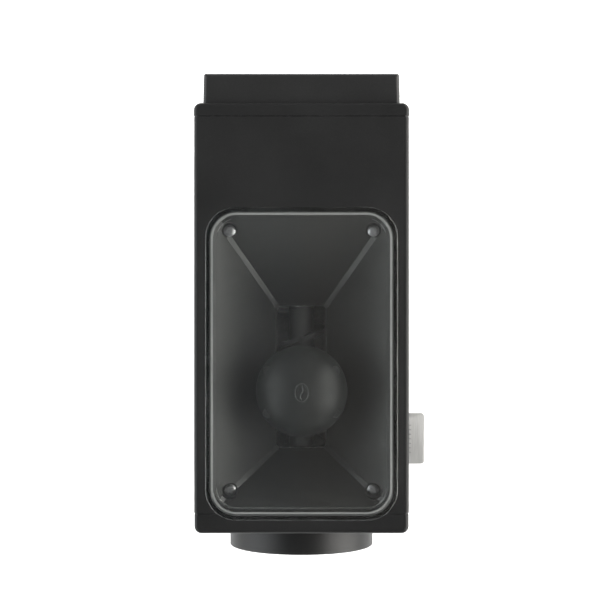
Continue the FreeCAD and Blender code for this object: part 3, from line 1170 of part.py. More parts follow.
def make_motor():
    plate = block("bracket_plate", middle(0, dim.motor_radius * 2 + 8), (bracket_front, bracket_back),
                  (mount_top, shaft_z + dim.motor_radius + 1))
    foot = block("bracket_foot", middle(0, dim.motor_radius * 2 + 8), (bracket_front, can_back),
                 (mount_top, mount_top + dim.bracket_plate))
    ring = dim.motor_screw_ring
    spots = [(ring * math.cos(math.radians(a)), shaft_z + ring * math.sin(math.radians(a)))
             for a in (45, 135, 225, 315)]
    tools = [rod("bracket_bore", "y", (0, bracket_front - 1, shaft_z), 12, dim.bracket_plate + 2)]
    tools += [screw_hole(f"bracket_screw_hole_{index}", "y", (x, bracket_front - 1, z), dim.bracket_plate + 2)
              for index, (x, z) in enumerate(spots)]
    node("motor_bracket", cut("motor_bracket", fuse("bracket_body", [plate, foot]), tools))
    inside_screws.extend(((x, bracket_front, z), BACKWARD) for x, z in spots)
    mounts = [rod(f"mount_{index}", "z", (x * dim.motor_radius * 0.8, y, floor_z), 6, dim.mount_height)
              for index, (x, y) in enumerate([(x, y) for x in (-1, 1)
                                              for y in (bracket_back + 8, can_back - 8)])]
    node("motor_mounts", group("motor_mounts", mounts))

    seat = dim.bearing_radius + dim.slip_gap
    depth = dim.bearing_depth
    bell = turned_on_shaft("front_bell_blank", [
        (bracket_back, 6), (bracket_back, dim.motor_radius), (can_front, dim.motor_radius),
        (can_front, seat), (can_front - depth, seat), (can_front - depth, 6)])
    node("motor_front_bell", cut("motor_front_bell", bell, [
        screw_hole(f"bell_hole_{index}", "y", (x, bracket_back - 1, z), 8)
        for index, (x, z) in enumerate(spots)]))
    node("motor_rear_bell", turned_on_shaft("motor_rear_bell", [
        (can_back, seat), (can_back, dim.motor_radius), (motor_back, dim.motor_radius), (motor_back, 6),
        (can_back + depth, 6), (can_back + depth, seat)]))
    node("motor_can", tube("motor_can", "y", (0, can_front, shaft_z), dim.motor_radius,
                           dim.motor_radius - dim.motor_wall, can_back - can_front))
    bearings = [tube(f"motor_bearing_{index}", "y", (0, y, shaft_z), dim.bearing_radius,
                     dim.motor_shaft + dim.pivot_gap, depth)
                for index, y in enumerate((can_front - depth, can_back))]
    bearings.append(tube("shaft_bearing", "y", (0, trough_back, shaft_z), dim.trough_radius,
                         dim.shaft_radius + dim.pivot_gap, dim.bearing_width))
    node("bearings", group("bearings", bearings))
    shaft = dim.motor_shaft
    stator_radius = dim.motor_radius - dim.motor_wall - dim.slip_gap
    node("motor_stator", tube("motor_stator", "y", (0, can_front + 3, shaft_z), stator_radius, 24,
                              can_back - can_front - 6))
    node("motor_rotor", turned_on_shaft("motor_rotor", [
        (coupling_front + dim.coupling_length / 2 + 0.5, 0),
        (coupling_front + dim.coupling_length / 2 + 0.5, shaft), (can_front + 4, shaft),
        (can_front + 4, 23.4), (can_back - 4, 23.4), (can_back - 4, shaft), (fan_back, shaft),
        (fan_back, 0)]))
    disc = rod("fan_disc", "y", (0, fan_front, shaft_z), dim.fan_radius, 1.2)
    hub = rod("fan_hub", "y", (0, fan_front, shaft_z), 8, dim.fan_depth)
    blades = [spoke(f"fan_blade_{index}", index * 360 / 9, (fan_front, fan_back), dim.fan_radius - 0.5,
                    dim.fan_blade)
              for index in range(9)]
    node("cooling_fan", cut("cooling_fan", fuse("fan_body", [disc, hub] + blades), [
        rod("fan_bore", "y", (0, fan_front - 1, shaft_z), shaft + dim.slip_gap, dim.fan_depth + 2)]))


def make_chute():
    wall = dim.chute_wall
    narrow = 1

    def passage(name, grow, extra):
        top = [(-chute_half - grow, inlet[0] - grow), (chute_half + grow, inlet[0] - grow),
               (chute_half + grow, inlet[1] + grow), (-chute_half - grow, inlet[1] + grow)]
        low_half = chute_half - narrow + grow
        low = [(-low_half, spout[0] - grow), (low_half, spout[0] - grow),
               (low_half, spout[1] + grow), (-low_half, spout[1] + grow)]
        return lofted(name, low, spout_z - extra, top, outlet_z + extra)

    flange = block("chute_flange", middle(0, outlet_width), outlet_y, (outlet_z - dim.chute_flange, outlet_z))
    striker = block("chute_striker", (chute_half + 1, chute_half + 11), (striker_y[0], striker_y[1]),
                    (striker_z - 3, striker_z))
    body = fuse("chute_body", [passage("chute_outer", wall, 0), flange, striker])
    tools = [passage("chute_inner", 0, 0)]
    tools += [screw_hole(f"flange_hole_{index}", "z", (x, chute_screw_y, outlet_z - 4), 6)
              for index, x in enumerate(chute_screw_x)]
    node("chute", cut("chute", body, tools))
    inside_screws.extend(((x, chute_screw_y, outlet_z - dim.chute_flange), UP) for x in chute_screw_x)


def make_knocker():
    hammer_left = chute_half + dim.hammer_side
    hammer_x = (hammer_left, hammer_left + dim.hammer_width)
    plate = slab("knocker_plate_blank", (pivot_x + 4.5, half_width + dim.knocker_proud), knocker_y,
                 middle(knocker_z, dim.knocker_plate),
                 (2, both(runs("z"), lies("x", half_width + dim.knocker_proud))))
    web = block("knocker_web", (hammer_x[0], pivot_x + 5), (knocker_y[0], barrel_back),
                middle(knocker_z, dim.knocker_plate))
    cutaway = block("knocker_cutaway", (chute_half, pivot_x - 6), (knocker_y[0] + 8, barrel_back + 1),
                    middle(knocker_z, 8))
    barrel = rod("knocker_barrel", "y", (pivot_x, knocker_y[0], knocker_z), dim.barrel_radius,
                 dim.barrel_length)
    hammer = block("knocker_hammer", hammer_x,
                   (knocker_y[0] + 0.3, striker_y[1]), (striker_z + dim.run_gap, knocker_z))
    arm = cut("knocker_arm", web, [cutaway])
    lever = fuse("knocker_body", [plate, arm, barrel, hammer])
    bore = rod("knocker_bore", "y", (pivot_x, knocker_y[0] - 1, knocker_z), dim.pin_radius + dim.pivot_gap,
               dim.knocker_length + 2)
    node("knocker_lever", cut("knocker_lever", lever, [bore]))

    ears = [(slot_y[0] - dim.bracket_ear, slot_y[0]), (slot_y[1], slot_y[1] + dim.bracket_ear)]
    pieces = [block(f"bracket_ear_{index}", middle(pivot_x, dim.bracket_width), span,
                    (floor_z, knocker_z + 4.5))
              for index, span in enumerate(ears)]
    pieces.append(block("bracket_strip", middle(pivot_x, dim.bracket_width), (ears[0][0], ears[1][1]),
                        (floor_z, floor_z + 2)))
    pieces += [rod(f"bracket_peg_{index}", "z", (pivot_x, y, head_bottom + 0.6), dim.screw_radius,
                   dim.shell_wall + 1) for index, y in enumerate(bracket_peg_y)]
    tools = [rod("bracket_pin_hole", "y", (pivot_x, ears[0][0] - 1, knocker_z),
                 dim.pin_radius + dim.slip_gap, ears[1][1] - ears[0][0] + 2)]
    node("knocker_bracket", cut("knocker_bracket", fuse("bracket_pieces", pieces), tools))
    node("knocker_pin", rod("knocker_pin", "y", (pivot_x, ears[0][0], knocker_z), dim.pin_radius,
                            ears[1][1] - ears[0][0]))
    node("knocker_spring", coil("knocker_spring", (pivot_x, barrel_back + dim.seat_gap, knocker_z), BACKWARD,
                                2.3, 0.45, 1.1, slot_y[1] - barrel_back - dim.seat_gap * 2))

    frame = block("bezel_frame", (inner_half - 1.5, half_width), bezel_y, bezel_z)
    slot = block("bezel_slot", (inner_half - 3, half_width + 1), slot_y, slot_z)
    node("knocker_bezel", cut("knocker_bezel", frame, [slot]))


def make_button():
    node("button_bezel", tube("button_bezel", "y", (button_x, front - 0.6, button_z), bezel_radius,
                              dim.button_radius + dim.run_gap, dim.shell_wall + 0.6))
    flange_front = cap_inside + dim.run_gap
    face = front - 0.6 - dim.button_travel - 0.3
    button = turned("button_blank", "YZ_Plane", "H_Axis", [
        (face, 0), (face, dim.button_radius - 0.6), (face + 0.6, dim.button_radius),
        (flange_front, dim.button_radius), (flange_front, dim.button_radius + 1),
        (flange_front + 1.4, dim.button_radius + 1), (flange_front + 1.4, 2.2),
        (switch_face - dim.button_travel - 0.2, 2.2), (switch_face - dim.button_travel - 0.2, 0)],
        (button_x, 0, button_z))
    node("start_button", button)
    body = block("switch_body", middle(button_x, 14), (switch_face, switch_face + 8.6),
                 (floor_z, button_z + 2.8))
    node("start_switch", body)
    node("button_spring", coil("button_spring", (button_x, flange_front + 1.5, button_z), BACKWARD,
                               3.4, 0.3, 1.3, switch_face - flange_front - 1.6))


def make_power():
    board_z = (board_low, board_high)
    board = block("board_plate", middle(0, dim.head_width - 34), (board_back - dim.board_plate, board_back),
                  board_z)
    parts = [block("transformer", (-27, -3), (board_back - 26, board_back - 1),
                   (board_low + 6, board_low + 32)),
             block("relay", (4, 22), (board_back - 17, board_back - 1), (board_low + 6, board_low + 20)),
             block("plug_socket", (4, 26), (board_back - 11, board_back - 1),
                   (board_high - 14, board_high - 5))]
    tools = [screw_hole(f"board_hole_{index}", "y", (x, board_back - 3, z), 5)
             for index, (x, z) in enumerate(board_spots)]
    node("power_board", cut("power_board", fuse("board_body", [board] + parts), tools))
    inside_screws.extend(((x, board_back - dim.board_plate, z), BACKWARD) for x, z in board_spots)
    node("capacitor", rod("capacitor", "y", (-16, board_back - 27.6, board_high - 11), 8, 26))
    bush = turned("gland_blank", "YZ_Plane", "H_Axis", [
        (rear + 2.5 - dim.gland_length, dim.gland_bore), (rear + 2.5 - dim.gland_length, dim.gland_radius),
        (rear, dim.gland_radius), (rear, dim.gland_radius + 2.5), (rear + 1.5, dim.gland_radius + 2.5),
        (rear + 2.5, dim.gland_radius + 1.5), (rear + 2.5, dim.gland_bore)], (0, 0, gland_z))
    node("cord_gland", bush)


def make_cup():
    radius = dim.cup_radius
    wall = dim.cup_wall
    node("grounds_cup", turned("grounds_cup", "XZ_Plane", "V_Axis", [
        (0, 0), (radius - 1.5, 0), (radius, 1.5), (radius, dim.cup_height), (radius - wall, dim.cup_height),
        (radius - wall, 1.5), (0, 1.5)], (0, cup_y, cup_bottom)))
    lip = radius - wall - 0.2
    node("cup_lid", turned("cup_lid", "XZ_Plane", "V_Axis", [
        (dim.cup_mouth, 0), (dim.cup_mouth, 2), (dim.cup_mouth + 0.5, 2.5), (radius - 0.5, 2.5), (radius, 2),
        (radius, 0), (lip, 0), (lip, -5), (lip - 1.5, -5), (lip - 1.5, 0)], (0, cup_y, cup_top)))


def check_all():
    doc.recompute()
    faults = [thing.Name for thing in doc.Objects
              if "Invalid" in thing.State or "Error" in thing.State]
    for thing in subparts:
        if thing.Shape.isNull() or not thing.Shape.isValid() or not thing.Shape.Solids:
            faults.append(thing.Label)
    if faults:
        raise RuntimeError("failed: " + ", ".join(faults))


def write_all():
    os.makedirs("parts", exist_ok=True)
    for thing in subparts:
        thing.Shape.exportStep(f"parts/{thing.Label}.step")
        print(thing.Label, len(thing.Shape.Solids), round(thing.Shape.Volume))


make_stand()
make_head()
make_front_cap()
make_rear_cap()
make_vent_cover()
make_bin()
make_hopper()
make_burr_housing()
make_rotor()
make_adjuster()
make_motor()
make_chute()
make_knocker()
make_button()
make_power()
make_cup()
screws("chassis_screws", inside_screws, dim.chassis_screw_length)
check_all()
write_all()
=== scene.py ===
import bmesh
import bpy
import json
import math
from mathutils import Euler, Matrix, Vector


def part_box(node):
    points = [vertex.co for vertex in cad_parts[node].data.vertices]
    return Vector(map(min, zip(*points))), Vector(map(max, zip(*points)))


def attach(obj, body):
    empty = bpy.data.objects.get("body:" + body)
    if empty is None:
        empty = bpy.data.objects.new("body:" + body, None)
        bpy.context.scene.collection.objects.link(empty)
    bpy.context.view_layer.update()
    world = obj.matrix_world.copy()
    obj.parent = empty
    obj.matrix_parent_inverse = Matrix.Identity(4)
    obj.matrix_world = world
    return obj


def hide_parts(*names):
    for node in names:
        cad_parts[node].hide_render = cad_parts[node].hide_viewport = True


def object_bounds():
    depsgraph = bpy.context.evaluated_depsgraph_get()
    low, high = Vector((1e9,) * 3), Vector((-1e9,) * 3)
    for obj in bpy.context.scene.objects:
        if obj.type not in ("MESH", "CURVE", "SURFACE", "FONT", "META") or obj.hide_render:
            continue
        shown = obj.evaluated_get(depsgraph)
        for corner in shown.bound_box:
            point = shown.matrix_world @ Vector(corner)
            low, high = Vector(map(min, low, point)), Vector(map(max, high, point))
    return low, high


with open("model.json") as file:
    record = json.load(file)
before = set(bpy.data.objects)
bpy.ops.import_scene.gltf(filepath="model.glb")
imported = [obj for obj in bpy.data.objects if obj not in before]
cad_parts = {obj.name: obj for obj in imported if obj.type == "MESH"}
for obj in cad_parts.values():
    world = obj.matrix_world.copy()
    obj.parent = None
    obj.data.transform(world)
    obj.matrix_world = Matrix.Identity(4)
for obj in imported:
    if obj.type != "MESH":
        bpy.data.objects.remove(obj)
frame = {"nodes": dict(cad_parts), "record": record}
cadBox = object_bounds()
nodes = frame["nodes"]
scene = bpy.context.scene
mm = 0.001
# points closer than this are one: in what is made here, and in the frame's meshes
fineGap = 1e-7
frameGap = 1e-6
print("frame loaded:", len(nodes), "nodes")


def addNode(tree, kind, inputs=None, **settings):
    # a number or colour is set on the input, a socket is linked to it
    node = tree.nodes.new(kind)
    for name, value in settings.items():
        setattr(node, name, value)
    for name, value in (inputs or {}).items():
        if isinstance(value, bpy.types.NodeSocket):
            tree.links.new(value, node.inputs[name])
        else:
            node.inputs[name].default_value = value
    return node


def calc(tree, operation, first, second=0.0, clamp=False):
    inputs = {0: first, 1: second}
    return addNode(tree, "ShaderNodeMath", inputs, operation=operation, use_clamp=clamp).outputs[0]


def remap(tree, value, low, high, toLow=0.0, toHigh=1.0):
    inputs = {"Value": value, "From Min": low, "From Max": high, "To Min": toLow, "To Max": toHigh}
    return addNode(tree, "ShaderNodeMapRange", inputs).outputs["Result"]


def mixColor(tree, factor, first, second):
    inputs = {0: factor, 6: first, 7: second}
    return addNode(tree, "ShaderNodeMix", inputs, data_type="RGBA").outputs[2]


def noise(tree, place, scale, detail=2.0, rough=0.5, distortion=0.0):
    inputs = {"Vector": place, "Scale": scale, "Detail": detail, "Roughness": rough, "Distortion": distortion}
    return addNode(tree, "ShaderNodeTexNoise", inputs).outputs["Fac"]


def newTree(name, kind, inputs, outputs):
    tree = bpy.data.node_groups.new(name, kind)
    for label, socket, value in inputs:
        made = tree.interface.new_socket(label, in_out="INPUT", socket_type="NodeSocket" + socket)
        if value is not None:
            made.default_value = value
    for label, socket in outputs:
        tree.interface.new_socket(label, in_out="OUTPUT", socket_type="NodeSocket" + socket)
    return tree, tree.nodes.new("NodeGroupInput").outputs, tree.nodes.new("NodeGroupOutput").inputs


def objectPlace(tree):
    return addNode(tree, "ShaderNodeTexCoord").outputs["Object"]


patternOutputs = [("Color", "Color"), ("Roughness", "Float"), ("Height", "Float")]
patternInputs = [("Scale", "Float", 1500.0), ("Dark", "Color", (0.01, 0.01, 0.01, 1)),
                 ("Light", "Color", (0.02, 0.02, 0.02, 1)), ("Rough Low", "Float", 0.4),
                 ("Rough High", "Float", 0.6)]


# how strongly each part of a pattern counts, and where its blend starts and ends
grainLook = {"fine": 0.55, "cloud": 0.45, "cloudScale": 16.0, "blend": (0.36, 0.64), "slow": (0.3, 0.7),
             "cells": 0.6, "pits": 0.4}
brushLook = {"lines": 0.8, "cloud": 0.2, "cloudScale": 30.0, "blend": (0.35, 0.65)}
wearLook = {"bend": (0.995, 0.86), "chipScale": 420.0, "chips": (0.42, 0.66), "polish": 0.12}
handLook = {"smearScale": 42.0, "smears": (0.47, 0.72), "dustScale": 2300.0, "specks": (0.62, 0.72),
            "level": (0.5, 1.0), "dust": (0.42, 0.4, 0.37, 1)}
windLook = {"bow": 0.6, "cloudScale": 60.0}


# powder coat, moulded and cast skins: fine grains over slow cloudy variation
def makeGrain():
    tree, given, out = newTree("fineGrain", "ShaderNodeTree", patternInputs, patternOutputs)
    place = objectPlace(tree)
    fine = noise(tree, place, given["Scale"], 3.0, 0.6)
    cloud = noise(tree, place, grainLook["cloudScale"], 4.0, 0.55, 0.3)
    cells = addNode(tree, "ShaderNodeTexVoronoi", {"Vector": place, "Scale": given["Scale"]},
                    feature="SMOOTH_F1").outputs["Distance"]
    blend = calc(tree, "ADD", calc(tree, "MULTIPLY", fine, grainLook["fine"]),
                 calc(tree, "MULTIPLY", cloud, grainLook["cloud"]))
    factor = remap(tree, blend, *grainLook["blend"])
    tree.links.new(mixColor(tree, factor, given["Dark"], given["Light"]), out["Color"])
    slow = remap(tree, cloud, *grainLook["slow"])
    spread = calc(tree, "SUBTRACT", given["Rough High"], given["Rough Low"])
    rough = calc(tree, "ADD", given["Rough Low"], calc(tree, "MULTIPLY", slow, spread))
    tree.links.new(rough, out["Roughness"])
    height = calc(tree, "ADD", calc(tree, "MULTIPLY", cells, grainLook["cells"]),
                  calc(tree, "MULTIPLY", fine, grainLook["pits"]))
    tree.links.new(height, out["Height"])
    return tree


# metal drawn or turned one way: noise stretched by the Stretch vector
def makeBrushed():
    inputs = patternInputs + [("Stretch", "Vector", (1.0, 1.0, 0.02))]
    tree, given, out = newTree("brushedLines", "ShaderNodeTree", inputs, patternOutputs)
    place = objectPlace(tree)
    pulled = addNode(tree, "ShaderNodeVectorMath", {0: place, 1: given["Stretch"]},
                     operation="MULTIPLY").outputs[0]
    lines = noise(tree, pulled, given["Scale"], 4.0, 0.65)
    cloud = noise(tree, place, brushLook["cloudScale"], 3.0)
    blend = calc(tree, "ADD", calc(tree, "MULTIPLY", lines, brushLook["lines"]),
                 calc(tree, "MULTIPLY", cloud, brushLook["cloud"]))
    factor = remap(tree, blend, *brushLook["blend"])
    tree.links.new(mixColor(tree, factor, given["Dark"], given["Light"]), out["Color"])
    spread = calc(tree, "SUBTRACT", given["Rough High"], given["Rough Low"])
    tree.links.new(calc(tree, "ADD", given["Rough Low"], calc(tree, "MULTIPLY", factor, spread)),
                   out["Roughness"])
    tree.links.new(lines, out["Height"])
    return tree


# edges rubbed lighter and smoother, broken up by noise
def makeWear():
    inputs = [("Color", "Color", (0, 0, 0, 1)), ("Roughness", "Float", 0.5),
              ("Worn", "Color", (0.1, 0.1, 0.1, 1)), ("Width", "Float", 0.0006), ("Amount", "Float", 0.5)]
    tree, given, out = newTree("edgeWear", "ShaderNodeTree", inputs, patternOutputs[:2])
    rounded = addNode(tree, "ShaderNodeBevel", {"Radius": given["Width"]}, samples=4).outputs["Normal"]
    flat = addNode(tree, "ShaderNodeNewGeometry").outputs["Normal"]
    turned = addNode(tree, "ShaderNodeVectorMath", {0: rounded, 1: flat}, operation="DOT_PRODUCT")
    bend = remap(tree, turned.outputs["Value"], *wearLook["bend"])
    chips = remap(tree, noise(tree, objectPlace(tree), wearLook["chipScale"], 4.0, 0.7), *wearLook["chips"])
    mask = calc(tree, "MULTIPLY", calc(tree, "MULTIPLY", bend, chips), given["Amount"], clamp=True)
    tree.links.new(mixColor(tree, mask, given["Color"], given["Worn"]), out["Color"])
    polish = calc(tree, "MULTIPLY", mask, wearLook["polish"])
    tree.links.new(calc(tree, "SUBTRACT", given["Roughness"], polish), out["Roughness"])
    return tree


# faint smears from hands, and dust that lies on faces that look up
def makeHandling():
    inputs = [("Color", "Color", (0, 0, 0, 1)), ("Roughness", "Float", 0.5), ("Smear", "Float", 0.05),
              ("Dust", "Float", 0.02)]
    tree, given, out = newTree("handling", "ShaderNodeTree", inputs, patternOutputs[:2])
    place = objectPlace(tree)
    smear = remap(tree, noise(tree, place, handLook["smearScale"], 5.0, 0.62, 1.6), *handLook["smears"])
    rough = calc(tree, "ADD", given["Roughness"], calc(tree, "MULTIPLY", smear, given["Smear"]), clamp=True)
    up = addNode(tree, "ShaderNodeSeparateXYZ",
                 {0: addNode(tree, "ShaderNodeNewGeometry").outputs["Normal"]}).outputs["Z"]
    specks = remap(tree, noise(tree, place, handLook["dustScale"], 2.0, 0.7), *handLook["specks"])
    level = remap(tree, up, *handLook["level"])
    fall = calc(tree, "MULTIPLY", calc(tree, "MULTIPLY", level, specks), given["Dust"])
    tree.links.new(mixColor(tree, fall, given["Color"], handLook["dust"]), out["Color"])
    tree.links.new(rough, out["Roughness"])
    return tree


# enamelled wire wound round the motor's axis
def makeWinding():
    tree, given, out = newTree("woundWire", "ShaderNodeTree", patternInputs, patternOutputs)
    place = objectPlace(tree)
    wave = addNode(tree, "ShaderNodeTexWave", {
        "Vector": place, "Scale": given["Scale"], "Distortion": windLook["bow"]},
        bands_direction="Y").outputs["Fac"]
    tree.links.new(mixColor(tree, wave, given["Dark"], given["Light"]), out["Color"])
    spread = calc(tree, "SUBTRACT", given["Rough High"], given["Rough Low"])
    soft = noise(tree, place, windLook["cloudScale"], 3.0)
    tree.links.new(calc(tree, "ADD", given["Rough Low"], calc(tree, "MULTIPLY", soft, spread)),
                   out["Roughness"])
    tree.links.new(wave, out["Height"])
    return tree


patterns = {"grain": makeGrain(), "brushed": makeBrushed(), "wound": makeWinding()}
wearGroup = makeWear()
handlingGroup = makeHandling()

# each slot's pattern, its two colours, roughness range, relief in metres and the shader's own values
finishes = {
    "shell_coat": {"scale": 2400, "dark": (0.0052, 0.0052, 0.0054), "light": (0.0084, 0.0084, 0.0087),
                   "gloss": 0.3, "rough": (0.44, 0.55), "relief": 0.00004, "worn": (0.05, 0.05, 0.052),
                   "wear": 0.25},
    "cap_coat": {"scale": 2400, "dark": (0.0050, 0.0050, 0.0052), "light": (0.0080, 0.0080, 0.0083),
                 "gloss": 0.3, "rough": (0.44, 0.55), "relief": 0.00004, "worn": (0.05, 0.05, 0.052),
                 "wear": 0.25},
    "vent_plastic": {"scale": 1300, "dark": (0.0085, 0.0085, 0.0087), "light": (0.0125, 0.0125, 0.0128),
                     "gloss": 0.35, "rough": (0.42, 0.54), "relief": 0.00003, "worn": (0.09, 0.09, 0.09),
                     "wear": 0.3},
    "dial_coat": {"scale": 2600, "dark": (0.0055, 0.0055, 0.0057), "light": (0.0085, 0.0085, 0.0088),
                  "gloss": 0.3, "rough": (0.38, 0.47), "relief": 0.00002, "worn": (0.13, 0.13, 0.13),
                  "wear": 0.4},
    "insert_coat": {"scale": 3000, "dark": (0.0110, 0.0110, 0.0114), "light": (0.0160, 0.0160, 0.0165),
                    "rough": (0.32, 0.42), "relief": 0.00001},
    "marking_white": {"scale": 2000, "dark": (0.66, 0.66, 0.64), "light": (0.78, 0.78, 0.76),
                      "rough": (0.45, 0.6), "relief": 0.00001},
    "seal_rubber": {"scale": 1600, "dark": (0.13, 0.13, 0.13), "light": (0.19, 0.19, 0.19),
                    "rough": (0.55, 0.7), "relief": 0.00002},
    "funnel_plastic": {"scale": 1500, "dark": (0.0022, 0.0022, 0.0020), "light": (0.0040, 0.0039, 0.0036),
                       "gloss": 0.95, "rough": (0.36, 0.43), "relief": 0.00002, "worn": (0.05, 0.05, 0.048),
                       "wear": 0.3},
    "dome_plastic": {"scale": 2200, "dark": (0.0062, 0.0068, 0.0068), "light": (0.0092, 0.0100, 0.0099),
                     "gloss": 0.24, "rough": (0.38, 0.46), "relief": 0.00002},
    "dark_steel": {"scale": 900, "dark": (0.23, 0.23, 0.235), "light": (0.42, 0.42, 0.43),
                   "rough": (0.24, 0.38), "relief": 0.00001, "metal": 1.0, "worn": (0.6, 0.6, 0.6),
                   "wear": 0.6},
    "lever_metal": {"pattern": "brushed", "scale": 900, "stretch": (4.0, 0.09, 4.0),
                    "dark": (0.62, 0.62, 0.615), "light": (0.80, 0.80, 0.795), "rough": (0.42, 0.56),
                    "relief": 0.00001, "metal": 1.0, "worn": (0.8, 0.8, 0.8), "wear": 0.5},
    "black_plastic": {"scale": 1500, "dark": (0.011, 0.011, 0.011), "light": (0.019, 0.019, 0.019),
                      "rough": (0.42, 0.55), "relief": 0.00003},
    "cup_steel": {"scale": 2400, "dark": (0.0090, 0.0090, 0.0094), "light": (0.0145, 0.0145, 0.0150),
                  "gloss": 0.35, "rough": (0.40, 0.52), "relief": 0.00003, "worn": (0.12, 0.12, 0.12),
                  "wear": 0.35},
    "cup_lid_plastic": {"scale": 1500, "dark": (0.012, 0.012, 0.012), "light": (0.019, 0.019, 0.019),
                        "rough": (0.38, 0.5), "relief": 0.00002, "worn": (0.08, 0.08, 0.08), "wear": 0.3},
    "foot_rubber": {"scale": 900, "dark": (0.016, 0.016, 0.016), "light": (0.028, 0.028, 0.027),
                    "rough": (0.72, 0.86), "relief": 0.00005},
    "cast_aluminium": {"scale": 700, "dark": (0.42, 0.42, 0.42), "light": (0.60, 0.60, 0.60),
                       "rough": (0.42, 0.6), "relief": 0.00006, "metal": 1.0},
    "bright_steel": {"pattern": "brushed", "scale": 800, "stretch": (1.0, 4.0, 1.0),
                     "dark": (0.50, 0.50, 0.50), "light": (0.70, 0.70, 0.70), "rough": (0.2, 0.34),
                     "relief": 0.00001, "metal": 1.0},
    "burr_steel": {"pattern": "brushed", "scale": 900, "stretch": (1.0, 3.0, 1.0),
                   "dark": (0.36, 0.35, 0.33), "light": (0.52, 0.51, 0.49), "rough": (0.3, 0.42),
                   "relief": 0.00002, "metal": 1.0},
    "hub_brass": {"pattern": "brushed", "scale": 800, "stretch": (1.0, 4.0, 1.0),
                  "dark": (0.52, 0.36, 0.13), "light": (0.74, 0.54, 0.22), "rough": (0.25, 0.38),
                  "relief": 0.00001, "metal": 1.0},
    "zinc_steel": {"scale": 120, "dark": (0.36, 0.37, 0.38), "light": (0.56, 0.57, 0.58),
                   "rough": (0.3, 0.5), "relief": 0.00001, "metal": 1.0},
    "winding": {"pattern": "wound", "scale": 900, "dark": (0.20, 0.055, 0.02), "light": (0.62, 0.23, 0.09),
                "rough": (0.28, 0.42), "relief": 0.0001, "metal": 1.0},
    "board_green": {"scale": 500, "dark": (0.006, 0.045, 0.020), "light": (0.012, 0.085, 0.036),
                    "rough": (0.3, 0.42), "relief": 0.00002},
    "chute_plastic": {"scale": 1400, "dark": (0.011, 0.011, 0.011), "light": (0.018, 0.018, 0.018),
                      "rough": (0.3, 0.44), "relief": 0.00002},
    "button_metal": {"pattern": "brushed", "scale": 900, "stretch": (1.0, 0.3, 5.0),
                     "dark": (0.42, 0.42, 0.42), "light": (0.60, 0.60, 0.60), "rough": (0.3, 0.42),
                     "relief": 0.00001, "metal": 1.0, "worn": (0.8, 0.8, 0.8), "wear": 0.5},
    "bezel_ring": {"scale": 1500, "dark": (0.012, 0.012, 0.012), "light": (0.020, 0.020, 0.020),
                   "rough": (0.25, 0.36), "relief": 0.00001, "worn": (0.1, 0.1, 0.1), "wear": 0.4},
}


def opaque(color):
    return (*color, 1.0)


def placeGroup(tree, group, inputs):
    return addNode(tree, "ShaderNodeGroup", inputs, node_tree=group).outputs


def newMaterial(name):
    material = bpy.data.materials.new(name)
    material.use_nodes = True
    material.node_tree.nodes.clear()
    return material, material.node_tree


def makeFinish(name, look):
    material, tree = newMaterial(name)
    values = {"Scale": look["scale"], "Dark": opaque(look["dark"]), "Light": opaque(look["light"]),
              "Rough Low": look["rough"][0], "Rough High": look["rough"][1]}
    if "stretch" in look:
        values["Stretch"] = look["stretch"]
    base = placeGroup(tree, patterns[look.get("pattern", "grain")], values)
    color = base["Color"]
    rough = base["Roughness"]
    if "wear" in look:
        worn = placeGroup(tree, wearGroup, {"Color": color, "Roughness": rough, "Worn": opaque(look["worn"]),
                                            "Amount": look["wear"]})
        color = worn["Color"]
        rough = worn["Roughness"]
    used = placeGroup(tree, handlingGroup, {"Color": color, "Roughness": rough})
    bump = addNode(tree, "ShaderNodeBump", {"Height": base["Height"], "Distance": look["relief"]})
    shader = addNode(tree, "ShaderNodeBsdfPrincipled", {
        "Base Color": used["Color"], "Roughness": used["Roughness"], "Normal": bump.outputs["Normal"],
        "Metallic": look.get("metal", 0.0), "Specular IOR Level": look.get("gloss", 0.5)})
    addNode(tree, "ShaderNodeOutputMaterial", {"Surface": shader.outputs[0]})
    return material


# clear acrylic: it casts only a faint shadow, and it has fine rub marks
clearLook = {"scale": 300, "dark": (0.90, 0.915, 0.905), "light": (0.96, 0.97, 0.965), "rough": (0.015, 0.07),
             "relief": 0.000004, "ior": 1.49, "through": (0.93, 0.935, 0.93, 1)}


def makeClear(name, look):
    material, tree = newMaterial(name)
    base = placeGroup(tree, patterns["grain"], {
        "Scale": look["scale"], "Dark": opaque(look["dark"]), "Light": opaque(look["light"]),
        "Rough Low": look["rough"][0], "Rough High": look["rough"][1]})
    bump = addNode(tree, "ShaderNodeBump", {"Height": base["Height"], "Distance": look["relief"]})
    shader = addNode(tree, "ShaderNodeBsdfPrincipled", {
        "Base Color": base["Color"], "Roughness": base["Roughness"], "Normal": bump.outputs["Normal"],
        "IOR": look["ior"], "Transmission Weight": 1.0})
    through = addNode(tree, "ShaderNodeBsdfTransparent", {"Color": look["through"]})
    shadow = addNode(tree, "ShaderNodeLightPath").outputs["Is Shadow Ray"]
    mixed = addNode(tree, "ShaderNodeMixShader", {0: shadow, 1: shader.outputs[0], 2: through.outputs[0]})
    addNode(tree, "ShaderNodeOutputMaterial", {"Surface": mixed.outputs[0]})
    return material


materials = {name: makeFinish(name, look) for name, look in finishes.items()}
materials["clear_plastic"] = makeClear("clear_plastic", clearLook)
for members in frame["record"]["behaviour"]["bodies"].values():
    for name in members:
        slots = nodes[name].material_slots
        slotName = slots[0].material.name.split(".")[0]
        for slot in slots:
            slot.material = materials[slotName]
print("finishes:", len(materials))


def shadeSmooth(mesh, degrees=32):
    mesh.shade_smooth()
    mesh.set_sharp_from_angle(angle=math.radians(degrees))


